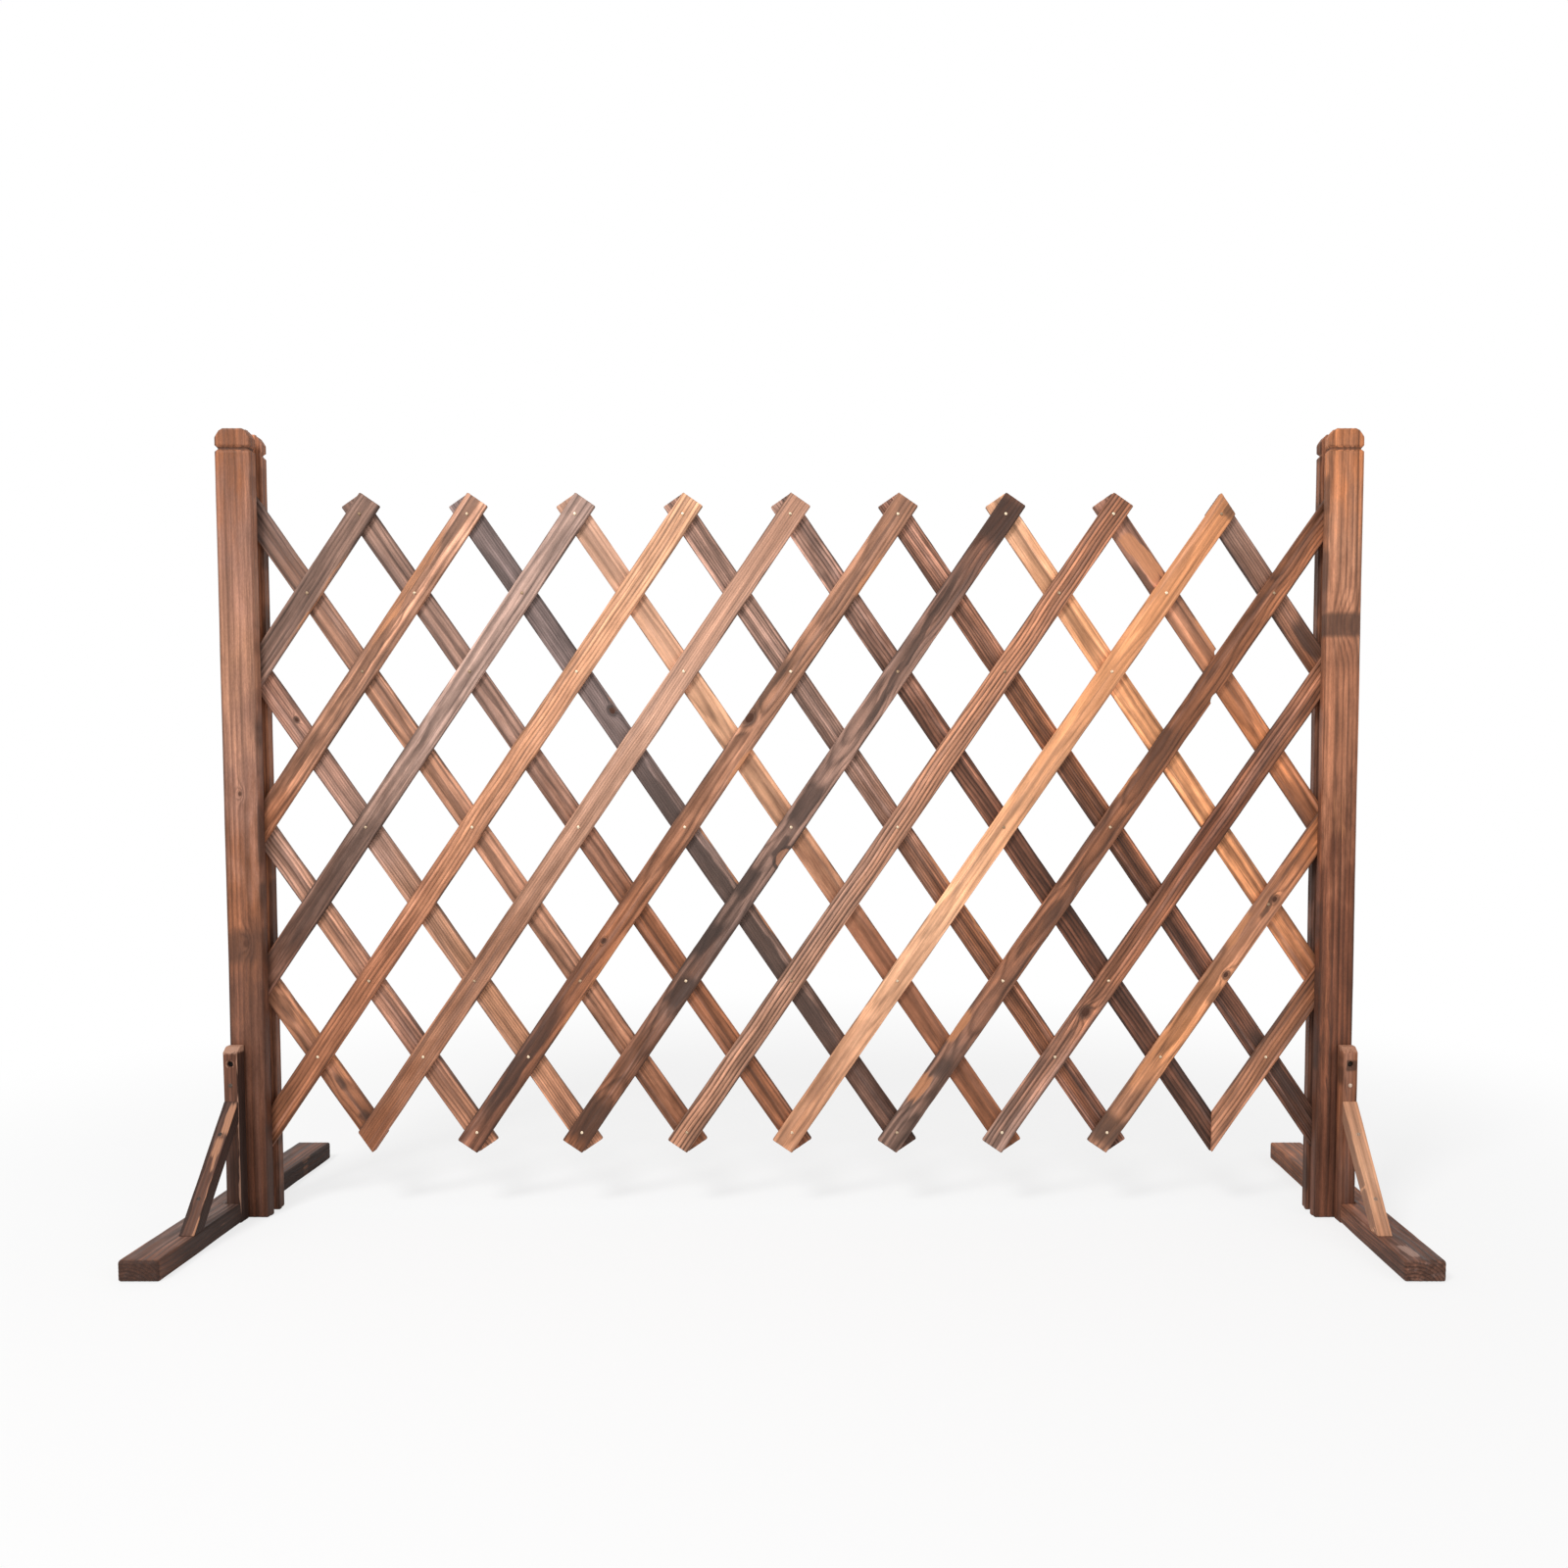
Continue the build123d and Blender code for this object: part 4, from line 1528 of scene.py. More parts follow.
@dataclass
class ClenchedNail:
    """A nail through a crossing, with a domed head in front and its point bent over behind.

    Attributes:
        middle: of the crossing.
        through: the thickness of wood that it goes through.
        lean: the way that its point is bent, from upright.
        head: the radius and the height of its head.
        shank_radius: of its shank.
        clearance: between the wood and the bent point.
        tip_length: of the bent point.
        tip_height: how thick the bent point is.
        swell: the share of the bent point that widens to the shank's width.
    """

    middle: Vector
    through: float
    lean: float
    head: Pair = (0.0019, 0.0012)
    shank_radius: float = 0.00125
    clearance: float = 0.00025
    tip_length: float = 0.0062
    tip_height: float = 0.0009
    swell: float = 0.25

    def form(self) -> Form:
        """The head with its shank, and the bent point.

        Returns:
            Their points and their faces.
        """
        seat = self.middle + FORWARD * (self.through / 2)
        shank = (self.shank_radius, self.through + self.clearance + self.tip_height / 2)
        return join([Fastener(seat, FORWARD, self.head, shank).form(), self.bent_tip()])

    def bent_tip(self) -> Form:
        """The bent point, tapered and flattened, behind the wood.

        Returns:
            Its points and its faces.
        """
        count, last = 10, 8
        direction = Vector((math.sin(self.lean), 0.0, math.cos(self.lean)))
        across = Vector((math.cos(self.lean), 0.0, -math.sin(self.lean)))
        behind = Vector((0.0, self.through / 2 + self.clearance + self.tip_height / 2, 0.0))
        rings = []
        for ring in range(last + 1):
            share = ring / last
            place = share * self.tip_length - self.shank_radius
            middle = self.middle + behind + direction * place
            if ring in (0, last):
                rings.append([middle])
                continue
            start = math.sqrt(1.0 - (1.0 - min(share, self.swell) / self.swell) ** 2)
            radius = self.shank_radius * start * (1.0 - 0.75 * max(0.0, share - self.swell))
            height = min(self.tip_height / 2, 0.8 * radius)
            turns = [math.tau * index / count for index in range(count)]
            rings.append([
                middle + across * (radius * math.cos(turn)) + FORWARD * (height * math.sin(turn))
                for turn in turns
            ])
        return closed_form(rings)


@dataclass
class PostBoard(Timber):
    """The front or the back board of a post, with its shaped head and the groove under it.

    Attributes:
        groove_z: the height of the groove.
        groove_height: of the groove's mouth.
        groove_depth: of the groove.
        slope_height: of the sloped shoulders at the top.
        slope_width: of the sloped shoulders.
        slope_power: how rounded the shoulders are.
    """

    groove_z: float = 0.975
    groove_height: float = 0.008
    groove_depth: float = 0.003
    slope_height: float = 0.012
    slope_width: float = 0.008
    slope_power: float = 1.3

    def sides(self, u: Array) -> tuple[Array, Array, Array, Array]:
        """How far the board reaches to each side.

        Args:
            u: heights on the board.

        Returns:
            Low v, high v, low w and high w at each of them.
        """
        v_low, v_high, w_low, w_high = super().sides(u)
        near = 1.0 - np.abs(u - self.groove_z) / (self.groove_height / 2)
        groove = self.groove_depth * np.clip(near, 0.0, 1.0)
        up = (u - self.length + self.slope_height) / self.slope_height
        slope = self.slope_width * np.clip(up, 0.0, 1.0) ** self.slope_power
        return v_low + groove + slope, v_high - groove - slope, w_low, w_high - groove

    def detail_lines(self) -> tuple[float, ...]:
        """Grid lines that give the groove, the shoulders and the knots their form.

        Returns:
            Places of grid lines along the piece, before its ends are cut.
        """
        half = self.groove_height / 2
        shares = (-1.5, -1.0, -0.66, -0.33, -0.08, 0.08, 0.33, 0.66, 1.0, 1.5)
        start = self.length - self.slope_height
        groove = tuple(self.groove_z + half * share for share in shares)
        return groove + (start, start + 0.002, start + 0.005) + super().detail_lines()


@dataclass
class Plank(Timber):
    """The plank of a foot, notched on one long side for the post and the upright.

    Attributes:
        notch: where the notch begins and ends, from the front.
        notch_depth: how deep it is.
        notch_side: the side that it is on, 1 for high v and -1 for low v.
    """

    notch: Pair = (0.0, 0.0)
    notch_depth: float = 0.019
    notch_side: int = 1

    def sides(self, u: Array) -> tuple[Array, Array, Array, Array]:
        """How far the plank reaches to each side.

        Args:
            u: places along the plank.

        Returns:
            Low v, high v, low w and high w at each of them.
        """
        v_low, v_high, w_low, w_high = super().sides(u)
        cut = self.notch_depth * ((u > self.notch[0]) & (u < self.notch[1]))
        v_low, v_high = v_low + cut * (self.notch_side < 0), v_high - cut * (self.notch_side > 0)
        return v_low, v_high, w_low, w_high


@dataclass
class Upright(Timber):
    """The square batten in front of a post, with its top sloped to the front.

    Attributes:
        slope_depth: how far the slope reaches from the front.
        slope_height: how far it drops.
    """

    slope_depth: float = 0.009
    slope_height: float = 0.007

    def ends(self, v: Array, w: Array) -> tuple[Array, Array]:
        """Where the low end and the high end lie, at each place across the batten."""
        share = np.clip((w - self.depth / 2 + self.slope_depth) / self.slope_depth, 0.0, 1.0)
        return np.zeros_like(v), self.length - self.slope_height * share


@dataclass
class Brace(Timber):
    """The sloping batten, cut upright at its top and level at its foot.

    Attributes:
        rise: of its face, from the plank to its top.
        reach: of its face, from the upright to its foot.
    """

    rise: float = 0.132
    reach: float = 0.113

    def ends(self, v: Array, w: Array) -> tuple[Array, Array]:
        """Where the low end and the high end lie, at each place across the batten."""
        behind = self.depth / 2 - w
        return behind * self.reach / self.rise, self.length - behind * self.rise / self.reach


@dataclass(frozen=True)
class PostLook:
    """What one post and its foot look like.

    Attributes:
        front: the front board.
        back: the back board and the spacer.
        plank: the foot's plank.
        upright: the foot's upright.
        brace: the foot's brace.
        nails: the metal of the foot's screws and nails.
        foot_wear: how worn the foot's edges are.
        hole_rim: how pale the rim of the upright's screw hole is, as wear and as a painted
            highlight.
    """

    front: Look
    back: Look
    plank: Look
    upright: Look
    brace: Look
    nails: MetalFinish
    foot_wear: float
    hole_rim: float


PieceFacts = dict[str, Union[str, int, Look]]
# The front boards run darker towards the bottom: partly their own tone, partly painted shade lower
# down.
LEFT_LOOK = PostLook(
    front=Look(
        tones("BARK BARK COCOA RUSSET DRIFT TAN DRIFT RUSSET"), 0.4, 0.36, 0.08, cool=0.1,
        specks=0.24, knots=(Knot(0.545, 0.001, 0.003, 0.0004, 0.6),
                            Knot(0.355, -0.002, 0.005, 0.0004, 0.45)), marks=(
            # Across the groove the board is painted dark, as scorch and as the groove's painted
            # shadow.
            scorched_and_shaded(0.972, 0.978), scorched_and_shaded(0.31, 0.39, -1.3, 1.3, 0.62),
            scorched_and_shaded(0.08, 0.95, -1.1, -0.72, 0.5), scorched_and_shaded(0.35, 0.95, 0.7, 1.1, 0.42),
            scorched_and_shaded(0.26, 0.33, -0.6, 0.2, 0.5), scorched_and_shaded(0.1, 0.9, -0.5, -0.35, 0.4),
            rubbed_and_highlit(0.5, 0.96, 0.35, 0.5, 0.5))),
    back=Look(tones("COCOA CHESTNUT CHESTNUT"), streaks=0.5, soot=0.2),
    plank=Look(
        tones("COCOA SMOKE UMBER UMBER"), 0.6, 0.6, 0.25, Stain.TAN, Stain.JET, marks=(
            # The plank's inner side is painted dark, as scorch and as painted shade away from the
            # key lamp.
            scorched_and_shaded(-0.1, 0.6, strength=1.0, facing=Facing.LOW),
            rubbed_and_highlit(0.1, 0.17, -1.4, -0.9, 0.7, Facing.LOW),
            rubbed_and_highlit(0.33, 0.47, -1.4, -0.82, 0.8, Facing.FRONT),
            rubbed_and_highlit(0.36, 0.39, strength=0.6, facing=Facing.LOW),
            scorched_and_shaded(0.0, 0.5, 0.5, 0.9, 0.5, Facing.FRONT),
            scorched_and_shaded(-0.01, 0.006, strength=0.9))),
    upright=Look(
        tones("UMBER UMBER BARK"), 0.4, 0.4, 0.15, Stain.PALE_ROSE, Stain.JET, marks=(
            rubbed_and_highlit(0.212, 0.24, strength=1.0), rubbed_and_highlit(-0.1, 0.3, -1.4, -0.72, 1.2, Facing.FRONT),
            # The upright's inner side is painted dark, as scorch and as painted shade away from the
            # key lamp.
            scorched_and_shaded(-0.1, 0.3, strength=1.0, facing=Facing.LOW),
            scorched_and_shaded(-0.1, 0.14, strength=0.5))),
    brace=Look(
        tones("UMBER BARK UMBER"), 0.4, 0.4, 0.15, Stain.HONEY, Stain.JET, marks=(
            rubbed_and_highlit(-0.02, 0.034, -1.3, -0.5, 1.0, Facing.FRONT),
            rubbed_and_highlit(0.02, 0.09, -1.0, -0.7, 0.9, Facing.FRONT, 0.15),
            rubbed_and_highlit(0.07, 0.115, -0.8, -0.1, 0.9, Facing.FRONT, 0.3),
            rubbed_and_highlit(0.09, 0.135, -0.9, 0.5, 0.8, Facing.FRONT, 0.1),
            rubbed_and_highlit(0.115, 0.185, -1.3, 0.3, 1.0, Facing.FRONT, -0.4),
            # The brace's inner side is painted dark, as scorch and as painted shade away from the
            # key lamp.
            scorched_and_shaded(-0.1, 0.3, strength=0.9, facing=Facing.LOW),
            scorched_and_shaded(-0.1, 0.3, 0.35, 1.4, 0.8))),
    nails=MetalFinish("stained_steel", (0.42, 0.36, 0.32), (0.2, 0.16, 0.14), 0.5),
    foot_wear=0.2,
    hole_rim=1.0,
)
RIGHT_LOOK = PostLook(
    front=Look(
        tones("BARK BARK RUST RUST CHESTNUT CHESTNUT CLAY COPPER"), 0.6, 0.45, 0.06, cool=0.05,
        specks=0.2, knots=(Knot(0.757, -0.003, 0.009, 0.0, 0.3),), marks=(
            # Across the groove the board is painted dark, as scorch and as the groove's painted
            # shadow.
            scorched_and_shaded(0.972, 0.978), scorched_and_shaded(0.732, 0.782, strength=1.0),
            scorched_and_shaded(0.68, 0.76, strength=0.45), scorched_and_shaded(0.05, 0.95, -0.8, -0.6, 0.4),
            scorched_and_shaded(0.0, 0.52, 0.22, 0.42, 0.7), scorched_and_shaded(0.0, 0.48, 0.66, 0.95, 0.6),
            rubbed_and_highlit(0.1, 0.5, 0.42, 0.6, 0.6), rubbed_and_highlit(0.46, 0.58, -0.6, 0.7, 0.5),
            scorched_and_shaded(0.1, 0.6, 0.3, 0.5, 0.5), rubbed_and_highlit(0.6, 0.96, -0.2, -0.05, 0.45),
            scorched_and_shaded(0.8, 0.97, 0.25, 0.45, 0.5))),
    back=Look(tones("COCOA COCOA CHESTNUT"), streaks=0.5, soot=0.3),
    plank=Look(
        tones("UMBER COCOA RUSSET CHESTNUT"), 0.6, 0.5, 0.1, Stain.PALE_MAUVE, Stain.JET, marks=(
            scorched_and_shaded(-0.1, 0.004, strength=1.0),
            # A worn patch on the top near the front, painted pale as wear and as a painted sheen.
            rubbed_and_highlit(0.004, 0.056, -0.3, 0.45, 1.2, Facing.FRONT, 0.6),
            rubbed_and_highlit(0.018, 0.062, 0.1, 0.6, 0.7, Facing.FRONT, -0.5),
            scorched_and_shaded(-0.02, 0.1, 0.3, 0.9, 0.6, Facing.FRONT),
            scorched_and_shaded(0.0, 0.2, -1.0, -0.4, 0.6, Facing.FRONT),
            rubbed_and_highlit(0.38, 0.46, 0.84, 1.4, 0.8, Facing.FRONT))),
    upright=Look(
        tones("BARK COCOA RUSSET CHESTNUT"), 0.4, 0.4, 0.05, Stain.ROSE_TAN, Stain.JET, marks=(
            rubbed_and_highlit(0.213, 0.24, strength=0.8),
            scorched_and_shaded(0.19, 0.214, -1.0, 0.7, 1.0, Facing.FRONT),
            scorched_and_shaded(0.15, 0.2, 0.35, 0.75, 0.8, Facing.FRONT),
            scorched_and_shaded(0.14, 0.18, -1.2, -0.5, 0.8, Facing.FRONT),
            rubbed_and_highlit(0.16, 0.225, 0.8, 1.4, 0.7, Facing.FRONT))),
    brace=Look(
        tones("HONEY PALE_HONEY HONEY"), 0.25, 0.25, 0.0, Stain.PALE_HONEY, Stain.MAUVE, marks=(
            # A pale line along the brace's left edge, painted as a highlight where the edge catches
            # the light.
            rubbed_and_highlit(0.0, 0.17, 0.78, 1.4, 1.0, Facing.FRONT),
            scorched_and_shaded(-0.1, 0.3, strength=0.9, facing=Facing.HIGH),
            rubbed_and_highlit(0.058, 0.066, strength=0.9, facing=Facing.HIGH),
            rubbed_and_highlit(0.008, 0.014, strength=0.9, facing=Facing.HIGH))),
    nails=MetalFinish("bright_steel", (0.86, 0.76, 0.68), (0.6, 0.47, 0.38), 0.4),
    foot_wear=0.4,
    hole_rim=0.0,
)


@dataclass
class Post:
    """One post with its foot.

    Attributes:
        side: which post it is.
        look: what it looks like.
        outer_x: how far its outer face is from the middle of the fence.
        height: of the post.
        board_width: of the two boards.
        board_thickness: of the two boards.
        half_slot: half the width of the slot between the boards.
        spacer_height: of the lath that closes the slot.
        spacer_width: how far that lath reaches into the slot.
        upright_width: of the upright and the brace.
        upright_depth: of the upright.
        upright_height: of the upright.
        plank_width: of the plank.
        plank_height: of the plank.
        plank_length: of the plank.
        brace_top: the height of the brace's top.
        brace_reach: how far the brace's foot is in front of the upright.
        brace_thickness: of the brace.
        screw_below_top: how far the upright's screw is below its top.
        screw_hole: the radius of the holes over the screws.
        screw_head: the radius and the height of the screws' heads.
        screw_shank: the radius of the screws' shanks.
        screw_sink: how deep the screws' heads are sunk.
        screw_recess: how deep the crosses in the screws' heads are.
        plank_screw_length: of the screws from the plank into the boards.
        nail_head: the radius and the height of the nails' heads.
        nail_shank: the radius of the nails' shanks.
        nail_sink: how deep the upright's nail is sunk.
        nail_below_screw: how far the upright's nail is below its screw.
        brace_nails: how far the brace's nails are from its foot.
        brace_nail_sink: how deep they are sunk, as a share of their heads' height.
        brace_nail_stain: how stained they are.
        bite: how far the upright's screw and nail reach into the board.
    """

    side: Side
    look: PostLook
    outer_x: float
    height: float = 1.0
    board_width: float = 0.045
    board_thickness: float = 0.0155
    half_slot: float = 0.0077
    spacer_height: float = 0.988
    spacer_width: float = 0.00796
    upright_width: float = 0.019
    upright_depth: float = 0.019
    upright_height: float = 0.225
    plank_width: float = 0.048
    plank_height: float = 0.025
    plank_length: float = 0.46
    brace_top: float = 0.157
    brace_reach: float = 0.113
    brace_thickness: float = 0.018
    screw_below_top: float = 0.021
    screw_hole: float = 0.00365
    screw_head: Pair = (0.0036, 0.0022)
    screw_shank: float = 0.002
    screw_sink: float = 0.003
    screw_recess: float = 0.0012
    plank_screw_length: float = 0.04
    nail_head: Pair = (0.0026, 0.001)
    nail_shank: float = 0.00125
    nail_sink: float = 0.0004
    nail_below_screw: float = 0.027
    brace_nails: Pair = (0.046, 0.129)
    brace_nail_sink: float = 0.8
    brace_nail_stain: float = 0.3
    bite: float = 0.012

    @property
    def word(self) -> str:
        """The side's name, in lower case."""
        return self.side.name.lower()

    @property
    def board_y(self) -> float:
        """How far the boards' middles are from the middle of the fence's thickness."""
        return self.half_slot + self.board_thickness / 2

    @property
    def half_depth(self) -> float:
        """How far the boards' outer faces are from the middle of the fence's thickness."""
        return self.half_slot + self.board_thickness

    @property
    def front_y(self) -> float:
        """The Y of the upright's front."""
        return -self.half_depth - self.upright_depth

    @property
    def foot_x(self) -> float:
        """The X of the middle of the upright and the brace."""
        return self.side.value * (self.outer_x - self.upright_width / 2)

    @property
    def screw_depth(self) -> float:
        """How deep the seat of a screw's head lies."""
        return self.screw_sink + self.screw_head[1]

    @property
    def screw_z(self) -> float:
        """The height of the upright's screw."""
        return self.upright_height - self.screw_below_top

    @property
    def brace_rise(self) -> float:
        """How far the brace's face rises from the plank."""
        return self.brace_top - self.plank_height

    @property
    def brace_length(self) -> float:
        """The length of the brace's face."""
        return math.hypot(self.brace_rise, self.brace_reach)

    @property
    def brace_foot(self) -> Vector:
        """The middle of the front edge of the brace's foot."""
        return Vector((self.foot_x, self.front_y - self.brace_reach, self.plank_height))

    @property
    def brace_along(self) -> Vector:
        """The direction up the brace."""
        return Vector((0.0, self.brace_reach, self.brace_rise)) / self.brace_length

    @property
    def brace_outward(self) -> Vector:
        """The direction out of the brace's face."""
        return Vector((0.0, -self.brace_rise, self.brace_reach)) / self.brace_length

    def common(self, part: str, look: Look, slot: str = "foot_wood") -> PieceFacts:
        """What every piece of this post is built with.

        Args:
            part: the piece's name, without the post's side.
            look: what it looks like.
            slot: the record's material slot.

        Returns:
            Its node, its body, its slot, its look and its seed.
        """
        parts = ("front_board", "back_board", "spacer", "foot_plank", "foot_upright", "foot_brace")
        node, body = f"{self.word}_{part}", f"{self.word}_post"
        seed = 5000 + 10 * parts.index(part) + self.side.value
        return {"node": node, "body": body, "slot": slot, "look": look, "seed": seed}

    def build_board(self, layer: Layer) -> bpy.types.Object:
        """Builds the front or the back board.

        Args:
            layer: which board.

        Returns:
            The board.
        """
        look = self.look.front if layer is Layer.FRONT else self.look.back
        x = self.side.value * (self.outer_x - self.board_width / 2)
        return PostBoard(
            **self.common(layer.name.lower() + "_board", look, "post_wood"),
            origin=Vector((x, -layer.value * self.board_y, 0.0)),
            along=UPWARD, outward=layer.value * FORWARD,
            length=self.height, width=self.board_width, depth=self.board_thickness,
            growth=Growth((0.02 * self.side.value, 0.022), 0.0042, (0.0008, 0.0006), 0.0004, 0.9),
            edge_radius=0.003, back_radius=0.0004, end_radius=0.0035, steps=(0.008, 0.0011, 0.0016),
            relief=0.00035, edge_wear=0.2,
        ).build()

    def build_spacer(self) -> bpy.types.Object:
        """Builds the lath that closes the slot on its outer side.

        Returns:
            The lath.
        """
        x = self.side.value * (self.outer_x - self.spacer_width / 2)
        return Timber(
            **self.common("spacer", self.look.back, "post_wood"),
            origin=Vector((x, 0.0, 0.0)), along=UPWARD,
            outward=Vector((self.side.value, 0.0, 0.0)),
            length=self.spacer_height, width=2 * self.half_slot, depth=self.spacer_width,
            edge_radius=0.0005, back_radius=0.0005, end_radius=0.0005,
            steps=(0.012, 0.0013, 0.002), relief=0.0002,
        ).build()

    def build_plank(self) -> bpy.types.Object:
        """Builds the plank, with the holes over its two screws.

        Returns:
            The plank.
        """
        middle_x = self.outer_x - self.upright_width + self.plank_width / 2
        front = self.plank_length / 2
        notch = (front - self.half_depth - self.upright_depth, front + self.half_depth)
        holes = tuple(
            Hole(front + y, self.screw_hole, self.screw_depth, 1, -self.side.value)
            for y in (-self.board_y, self.board_y)
        )
        lines = tuple(line for hole in holes for line in hole.grid(hole.along))
        walls = tuple(place + step for place in notch for step in (-0.0001, 0.0001))
        return Plank(
            **self.common("foot_plank", self.look.plank),
            origin=Vector((self.side.value * middle_x, -front, self.plank_height / 2)),
            along=-FORWARD, outward=UPWARD,
            length=self.plank_length, width=self.plank_width, depth=self.plank_height,
            growth=Growth((0.014, 0.03), 0.004, (0.006, 0.01), 0.0015, 0.3),
            edge_radius=0.0035, back_radius=0.0035, end_radius=0.0065,
            steps=(0.006, 0.0013, 0.0013), extra_along=lines + walls,
            extra_through=holes[0].grid(), notch=notch, notch_depth=self.upright_width,
            notch_side=self.side.value, holes=holes, edge_wear=self.look.foot_wear,
            edge_char=0.4, wander=0.0006,
        ).build()

    def build_upright(self) -> bpy.types.Object:
        """Builds the upright, with the hole over its screw.

        Returns:
            The upright.
        """
        hole = Hole(self.screw_z, self.screw_hole, self.screw_depth, rim=self.look.hole_rim)
        lines_z = self.screw_z * self.upright_height / (self.upright_height - Upright.slope_height)
        y = -self.half_depth - self.upright_depth / 2
        return Upright(
            **self.common("foot_upright", self.look.upright),
            origin=Vector((self.foot_x, y, 0.0)), along=UPWARD, outward=FORWARD,
            length=self.upright_height, width=self.upright_width, depth=self.upright_depth,
            growth=Growth((0.03, 0.02), 0.0034, wave=0.001), edge_radius=0.002,
            back_radius=0.0005, steps=(0.005, 0.001, 0.0012), relief=0.0003, holes=(hole,),
            extra_along=hole.grid(lines_z), extra_across=hole.grid(),
            edge_wear=self.look.foot_wear, wander=0.0005,
        ).build()

    def build_brace(self) -> bpy.types.Object:
        """Builds the brace between the upright and the plank.

        Returns:
            The brace.
        """
        return Brace(
            **self.common("foot_brace", self.look.brace),
            origin=self.brace_foot - self.brace_outward * (self.brace_thickness / 2),
            along=self.brace_along, outward=self.brace_outward,
            length=self.brace_length, width=self.upright_width, depth=self.brace_thickness,
            rise=self.brace_rise, reach=self.brace_reach,
            growth=Growth((0.02, 0.03), 0.0026, (0.001, 0.001), 0.0004),
            edge_radius=0.0015, back_radius=0.0015, end_radius=0.0006,
            steps=(0.004, 0.001, 0.0012), relief=0.0003,
            edge_wear=self.look.foot_wear, edge_char=0.2, wander=0.0005,
        ).build()

    def screw(self, seat: Vector, outward: Vector, length: float) -> Form:
        """One screw."""
        shank = (self.screw_shank, length)
        return Fastener(seat, outward, self.screw_head, shank, self.screw_recess, count=32).form()

    def nail(self, seat: Vector, outward: Vector, length: float) -> Form:
        """One nail."""
        return Fastener(seat, outward, self.nail_head, (self.nail_shank, length)).form()

    def build_fasteners(self) -> bpy.types.Object:
        """Builds the screws and nails of the foot.

        Returns:
            The screws, painted dark as the shade of their deep holes, and the nails, as one object.
        """
        grip = self.bite + self.upright_depth
        seat = Vector((self.foot_x, self.front_y + self.screw_depth, self.screw_z))
        screws = [self.screw(seat, FORWARD, grip - self.screw_depth)]
        beyond = Vector((self.side.value, 0.0, 0.0))
        face_x = self.outer_x - self.upright_width + self.plank_width
        for y in (-self.board_y, self.board_y):
            x = self.side.value * (face_x - self.screw_depth)
            seat = Vector((x, y, self.plank_height / 2))
            screws.append(self.screw(seat, beyond, self.plank_screw_length))
        nail_z = self.screw_z - self.nail_below_screw
        seat = Vector((self.foot_x, self.front_y + self.nail_sink, nail_z))
        upright_nails = [self.nail(seat, FORWARD, grip)]
        brace_nails = []
        sunk = self.brace_outward * (self.brace_nail_sink * self.nail_head[1])
        for place in self.brace_nails:
            seat = self.brace_foot + self.brace_along * place - sunk
            brace_nails.append(self.nail(seat, self.brace_outward, self.brace_thickness))
        # The screws take the full mask, which paints them dark as the shade of their deep holes;
        # the nails take their stains.
        groups = ((screws, 1.0), (upright_nails, 0.0), (brace_nails, self.brace_nail_stain))
        node = f"{self.word}_foot_fasteners"
        made = make_mesh(node + "_steel", *join(screws + upright_nails + brace_nails))
        stained = [stain for forms, stain in groups for form in forms for _ in form[0]]
        add_mask(made, Mask.STAINED, np.array(stained))
        place_piece(made, f"{self.word}_post", node, "dark_steel", self.look.nails.material())
        return made

    def dress_node(self, part: str, material: bpy.types.Material) -> None:
        """Gives one of the post's CAD nodes a material.

        Args:
            part: the node's name, without the post's side.
            material: the material.
        """
        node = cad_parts[f"{self.word}_{part}"]
        node.data.materials.clear()
        node.data.materials.append(material)
        LOG.info("%s: %s", node.name, material.name)

    def build(self, brass: bpy.types.Material) -> None:
        """Builds the post and its foot.

        Args:
            brass: the material of the post's pins and nails.
        """
        self.build_board(Layer.FRONT)
        self.build_board(Layer.BACK)
        self.build_spacer()
        self.build_plank()
        self.build_upright()
        self.build_brace()
        self.build_fasteners()
        self.dress_node("post_pin", brass)
        self.dress_node("post_nails", brass)


@dataclass(frozen=True)
class Lamp:
    """One square soft lamp.

    Attributes:
        name: its name.
        at: where it hangs.
        size: the length of its sides.
        power: its power in watts.
    """

    name: str
    at: tuple[float, float, float]
    size: float
    power: float

    def build(self, target: Vector) -> None:
        """Hangs the lamp, facing a target.

        Args:
            target: the place that it faces.
        """
        data = bpy.data.lights.new(self.name, "AREA")
        data.size = self.size
        data.energy = self.power
        lamp = bpy.data.objects.new(self.name, data)
        lamp.location = self.at
        lamp.rotation_euler = (target - Vector(self.at)).to_track_quat("-Z", "Y").to_euler()
        bpy.context.scene.collection.objects.link(lamp)


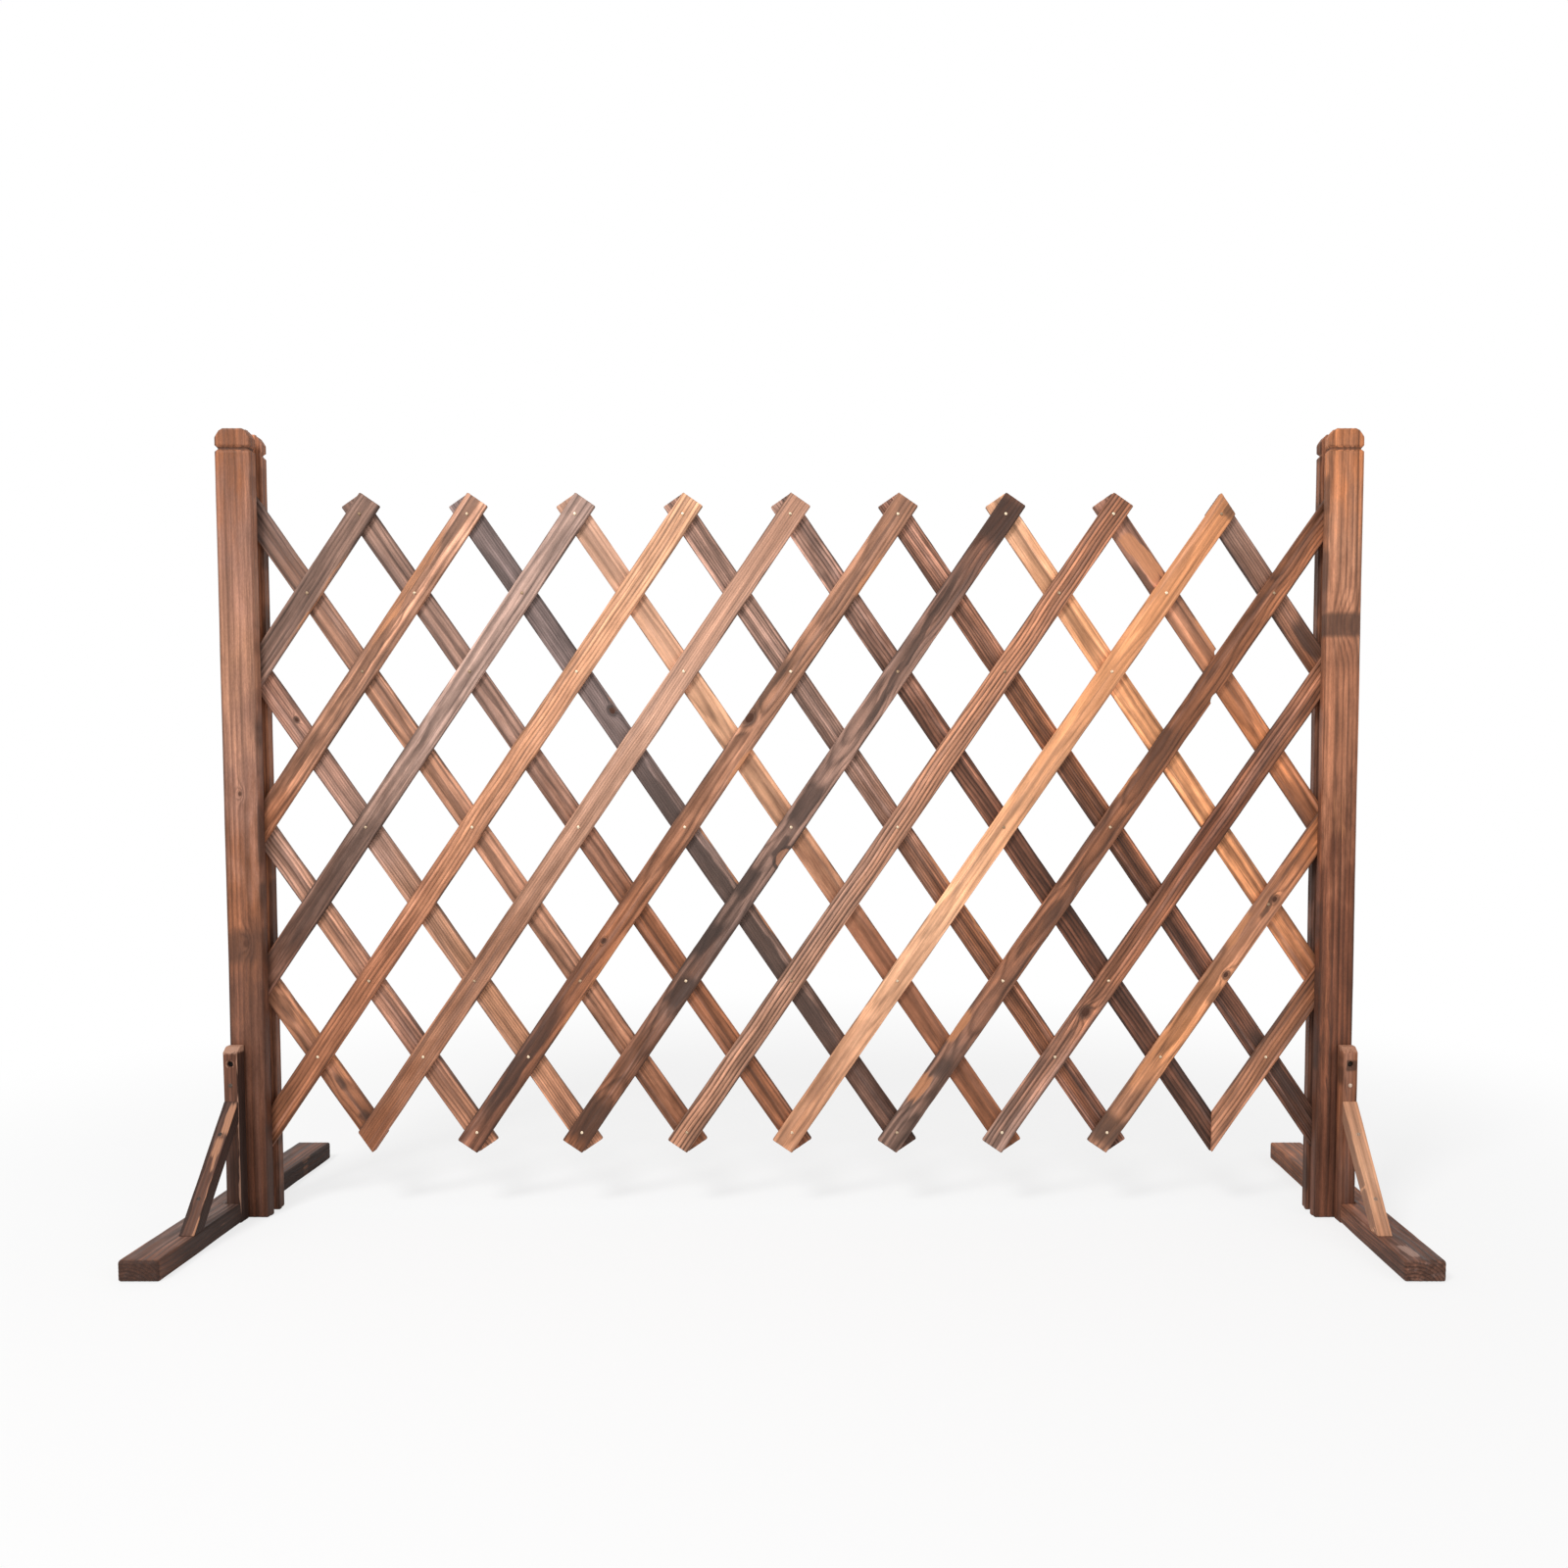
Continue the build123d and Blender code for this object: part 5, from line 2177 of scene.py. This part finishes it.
@dataclass
class Studio:
    """The floor, the lamps and the camera.

    Attributes:
        camera_at: where the camera stands.
        tilt: how far it looks down, in radians.
        focal: its focal length in pixels of the photograph.
        principal: the pixel that it looks straight at.
        photo: the photograph's width and height in pixels.
        sensor: the width of the camera's sensor, in millimetres.
        floor_size: half the length of the floor's sides.
        floor_tone: how pale the floor is.
        floor_glow: how much of the floor's look is plain white, near the fence.
        fade: where the floor begins to turn white, and where it is white.
        ambient: the strength of the light from all round.
        middle: the place that the lamps face.
        lamps: the lamps.
    """

    camera_at: tuple[float, float, float] = (0.0823, -1.6, 0.5655)
    tilt: float = 0.0529
    focal: float = 1273.4
    principal: Pair = (873.0, 860.8)
    photo: int = 1600
    sensor: float = 36.0
    floor_size: float = 30.0
    floor_tone: float = 0.93
    floor_glow: float = 0.75
    fade: Pair = (0.7, 1.8)
    ambient: float = 0.42
    middle: tuple[float, float, float] = (0.0, 0.0, 0.5)
    lamps: tuple[Lamp, ...] = (
        Lamp("key", (-1.3, -2.2, 3.0), 0.9, 78.0),
        Lamp("fill", (2.4, -2.0, 1.4), 1.8, 14.0),
    )

    def build_camera(self) -> None:
        """Puts the camera where the photograph was taken from."""
        data = bpy.data.cameras.new("camera")
        data.sensor_width = self.sensor
        data.lens = self.focal / self.photo * self.sensor
        data.shift_x = (self.photo / 2 - self.principal[0]) / self.photo
        data.shift_y = (self.principal[1] - self.photo / 2) / self.photo
        data.clip_start = 0.05
        camera = bpy.data.objects.new("camera", data)
        camera.location = self.camera_at
        camera.rotation_euler = Euler((math.pi / 2 - self.tilt, 0.0, 0.0))
        bpy.context.scene.collection.objects.link(camera)
        bpy.context.scene.camera = camera

    def build_floor(self) -> None:
        """Lays a pale floor that fades to white away from the fence."""
        size = self.floor_size
        corners = [(-size, -size, 0.0), (size, -size, 0.0), (size, size, 0.0), (-size, size, 0.0)]
        floor = make_mesh("floor", corners, [(0, 1, 2, 3)])
        g = Graph(bpy.data.materials.new("pale_floor"))
        place = g.node("ShaderNodeTexCoord", {}, {}, "Object")
        far = g.node("ShaderNodeVectorMath", {"operation": "LENGTH"}, {0: place}, "Value")
        seen = g.node("ShaderNodeLightPath", {}, {}, "Is Camera Ray")
        paint = g.node("ShaderNodeBsdfDiffuse", {}, {"Color": (*(self.floor_tone,) * 3, 1.0)})
        glow = g.node("ShaderNodeEmission", {}, {"Color": WHITE, "Strength": 1.0})
        white = (self.floor_glow + (1.0 - self.floor_glow) * g.curve(far, *self.fade)) * seen
        mixed = g.node("ShaderNodeMixShader", {}, {0: white, 1: paint, 2: glow})
        floor.data.materials.append(g.finish(mixed))

    def build_world(self) -> None:
        """Makes the world white to look at and softly lit."""
        g = Graph(bpy.data.worlds.new("studio"))
        outputs = ("Is Camera Ray", "Is Glossy Ray")
        camera, glossy = (g.node("ShaderNodeLightPath", {}, {}, output) for output in outputs)
        seen = g.node("ShaderNodeMath", {"operation": "MAXIMUM"}, {0: camera, 1: glossy})
        light, white = (
            g.node("ShaderNodeBackground", {}, {"Color": WHITE, "Strength": strength})
            for strength in (self.ambient, 1.0)
        )
        mixed = g.node("ShaderNodeMixShader", {}, {0: seen, 1: light, 2: white})
        bpy.context.scene.world = g.finish(mixed, "ShaderNodeOutputWorld")

    def build(self) -> None:
        """Builds the studio."""
        bpy.context.scene.view_settings.view_transform = "Standard"
        self.build_camera()
        self.build_floor()
        self.build_world()
        for lamp in self.lamps:
            lamp.build(Vector(self.middle))


def main() -> None:
    """Builds the fence and its studio."""
    logging.basicConfig(level=logging.INFO, format="%(name)s: %(message)s")
    brass = MetalFinish("bright_brass", (1.0, 0.92, 0.8), (0.78, 0.64, 0.5), 0.38).material()
    Lattice().build(brass)
    outer_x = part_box("right_front_board")[1].x
    Post(Side.LEFT, LEFT_LOOK, outer_x).build(brass)
    Post(Side.RIGHT, RIGHT_LOOK, outer_x).build(brass)
    Studio().build()
    bpy.context.view_layer.update()


if __name__ == "__main__":
    main()
